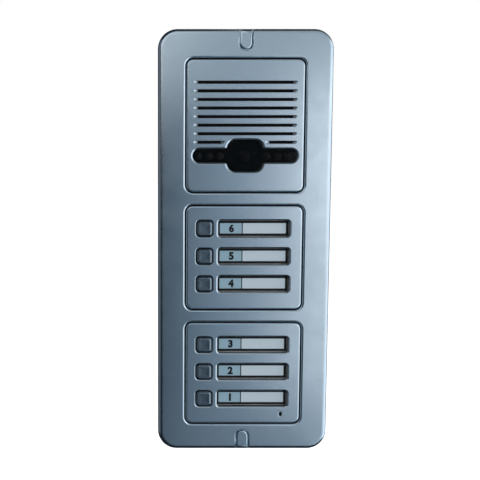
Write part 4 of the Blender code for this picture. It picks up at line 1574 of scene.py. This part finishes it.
@dataclass
class Studio:
    """The floor, the lights and the camera."""

    floor_height: float = -0.62
    floor_reach: float = 80.0
    floor_cells: int = 12
    sun_power: float = 4.3
    sun_spread: float = math.radians(12.0)
    sun_tilt: float = math.radians(-17.0)
    room_light: Colour = (0.012, 0.018, 0.026)
    lens: float = 51.375
    eye: tuple[float, float, float] = (-0.0604, -0.5358, 0.0482)
    tilt: float = math.radians(-5.19)
    shift: float = 0.165
    boxes: Sequence[SoftBox] = (
        SoftBox("key", 33.0, 4.0, (42.0, 18.0), 1.34, (1.0, 0.99, 1.01)),
        SoftBox("key_middle", 33.0, -14.0, (42.0, 18.0), 0.98, (0.98, 0.99, 1.01)),
        SoftBox("key_low", 38.0, -32.0, (32.0, 18.0), 0.86, (0.8, 1.0, 1.1)),
        SoftBox("centre", 6.0, -5.0, (12.0, 36.0), 0.27, (0.72, 1.0, 1.25)),
        SoftBox("centre_low", 10.0, -32.0, (24.0, 18.0), 0.21, (0.8, 1.0, 1.2)),
        SoftBox("side", 80.0, -14.0, (52.0, 54.0), 1.2, (0.95, 1.0, 1.05)),
        SoftBox("fill", -78.0, 4.0, (56.0, 70.0), 0.15, (0.9, 1.0, 1.1)),
        SoftBox("top_left", -18.0, 22.0, (32.0, 22.0), 0.86),
        SoftBox("top", 16.0, 22.0, (36.0, 18.0), 0.45, (0.9, 1.0, 1.06)),
        SoftBox("top_high", 30.0, 46.0, (130.0, 26.0), 0.42, (0.94, 1.0, 1.04)),
        SoftBox("top_right", 70.0, 22.0, (72.0, 22.0), 1.0, (0.92, 1.0, 1.04)),
        SoftBox("back", 165.0, 30.0, (50.0, 36.0), 1.0),
    )

    def build(self) -> None:
        """Adds the floor, the lights, the surroundings and the camera."""
        self.build_floor()
        for box in self.boxes:
            box.build()
        self.build_surroundings()
        self.build_camera()

    def build_floor(self) -> None:
        """Makes the floor: a level grid over x and y, lit by a sun that lights nothing else."""
        places = np.linspace(-self.floor_reach, self.floor_reach, self.floor_cells + 1)
        x, y = np.meshgrid(places, places)
        points = np.stack([x, y, np.full_like(x, self.floor_height)], axis=-1)
        index = np.arange(x.size).reshape(x.shape)
        quads = np.stack([index[:-1, :-1], index[:-1, 1:], index[1:, 1:], index[1:, :-1]], axis=-1)
        data = bpy.data.meshes.new("floor")
        data.from_pydata(points.reshape(-1, 3).tolist(), [], quads.reshape(-1, 4).tolist())
        data.materials.append(Finishes.FLOOR.value.material())
        floor = put("floor", data)
        floor.visible_glossy = False
        floor.visible_diffuse = False
        lamp = bpy.data.lights.new("floor_sun", "SUN")
        lamp.energy = self.sun_power
        lamp.angle = self.sun_spread
        sun = put("floor_sun", lamp)
        sun.rotation_euler = (self.sun_tilt, 0.0, 0.0)
        lit = bpy.data.collections.new("lit_floor")
        lit.objects.link(floor)
        sun.light_linking.receiver_collection = lit

    def build_surroundings(self) -> None:
        """Sets a white backdrop for the camera and a dim, cool room for the light."""
        world = bpy.data.worlds.new("surroundings")
        world.use_nodes = True
        nodes, link = world.node_tree.nodes, world.node_tree.links.new
        nodes.clear()
        output = nodes.new("ShaderNodeOutputWorld")
        mix = nodes.new("ShaderNodeMixShader")
        rays = nodes.new("ShaderNodeLightPath")
        link(rays.outputs["Is Camera Ray"], mix.inputs["Fac"])
        for place, colour in enumerate((self.room_light, (1.0, 1.0, 1.0)), start=1):
            background = nodes.new("ShaderNodeBackground")
            background.inputs["Color"].default_value = (*colour, 1.0)
            link(background.outputs[0], mix.inputs[place])
        link(mix.outputs[0], output.inputs["Surface"])
        bpy.context.scene.world = world

    def build_camera(self) -> None:
        """Adds the camera, level from side to side and tilted down a little."""
        data = bpy.data.cameras.new("camera")
        data.lens = self.lens
        data.shift_x = self.shift
        data.clip_start = 0.01
        camera = put("camera", data)
        camera.location = self.eye
        camera.rotation_euler = (QUARTER_TURN + self.tilt, 0.0, 0.0)
        scene = bpy.context.scene
        scene.camera = camera
        scene.view_settings.view_transform = "Standard"
        scene.view_settings.look = "None"


def main() -> None:
    """Builds the panel's pieces and the studio."""
    logging.basicConfig(level=logging.INFO, format="%(message)s")
    pockets = [ScrewPocket("top", 1), ScrewPocket("bottom", -1)]
    bezel = FrontBezel(pockets)
    bezel.build()
    envelope = bezel.envelope()
    for pocket in pockets:
        pocket.build(envelope)
    bpy.data.objects.remove(envelope)
    SpeakerPlate().build()
    ButtonPlate("upper_button_plate", numbers=(4, 5, 6)).build()
    ButtonPlate("lower_button_plate", numbers=(1, 2, 3), sound_hole=(1.8 * MM, 3.2 * MM)).build()
    for number in NUMBERS:
        CallButton(number).build()
        NameWindow(number).build()
    CameraUnit().build()
    Interior().build()
    Studio().build()


if __name__ == "__main__":
    main()
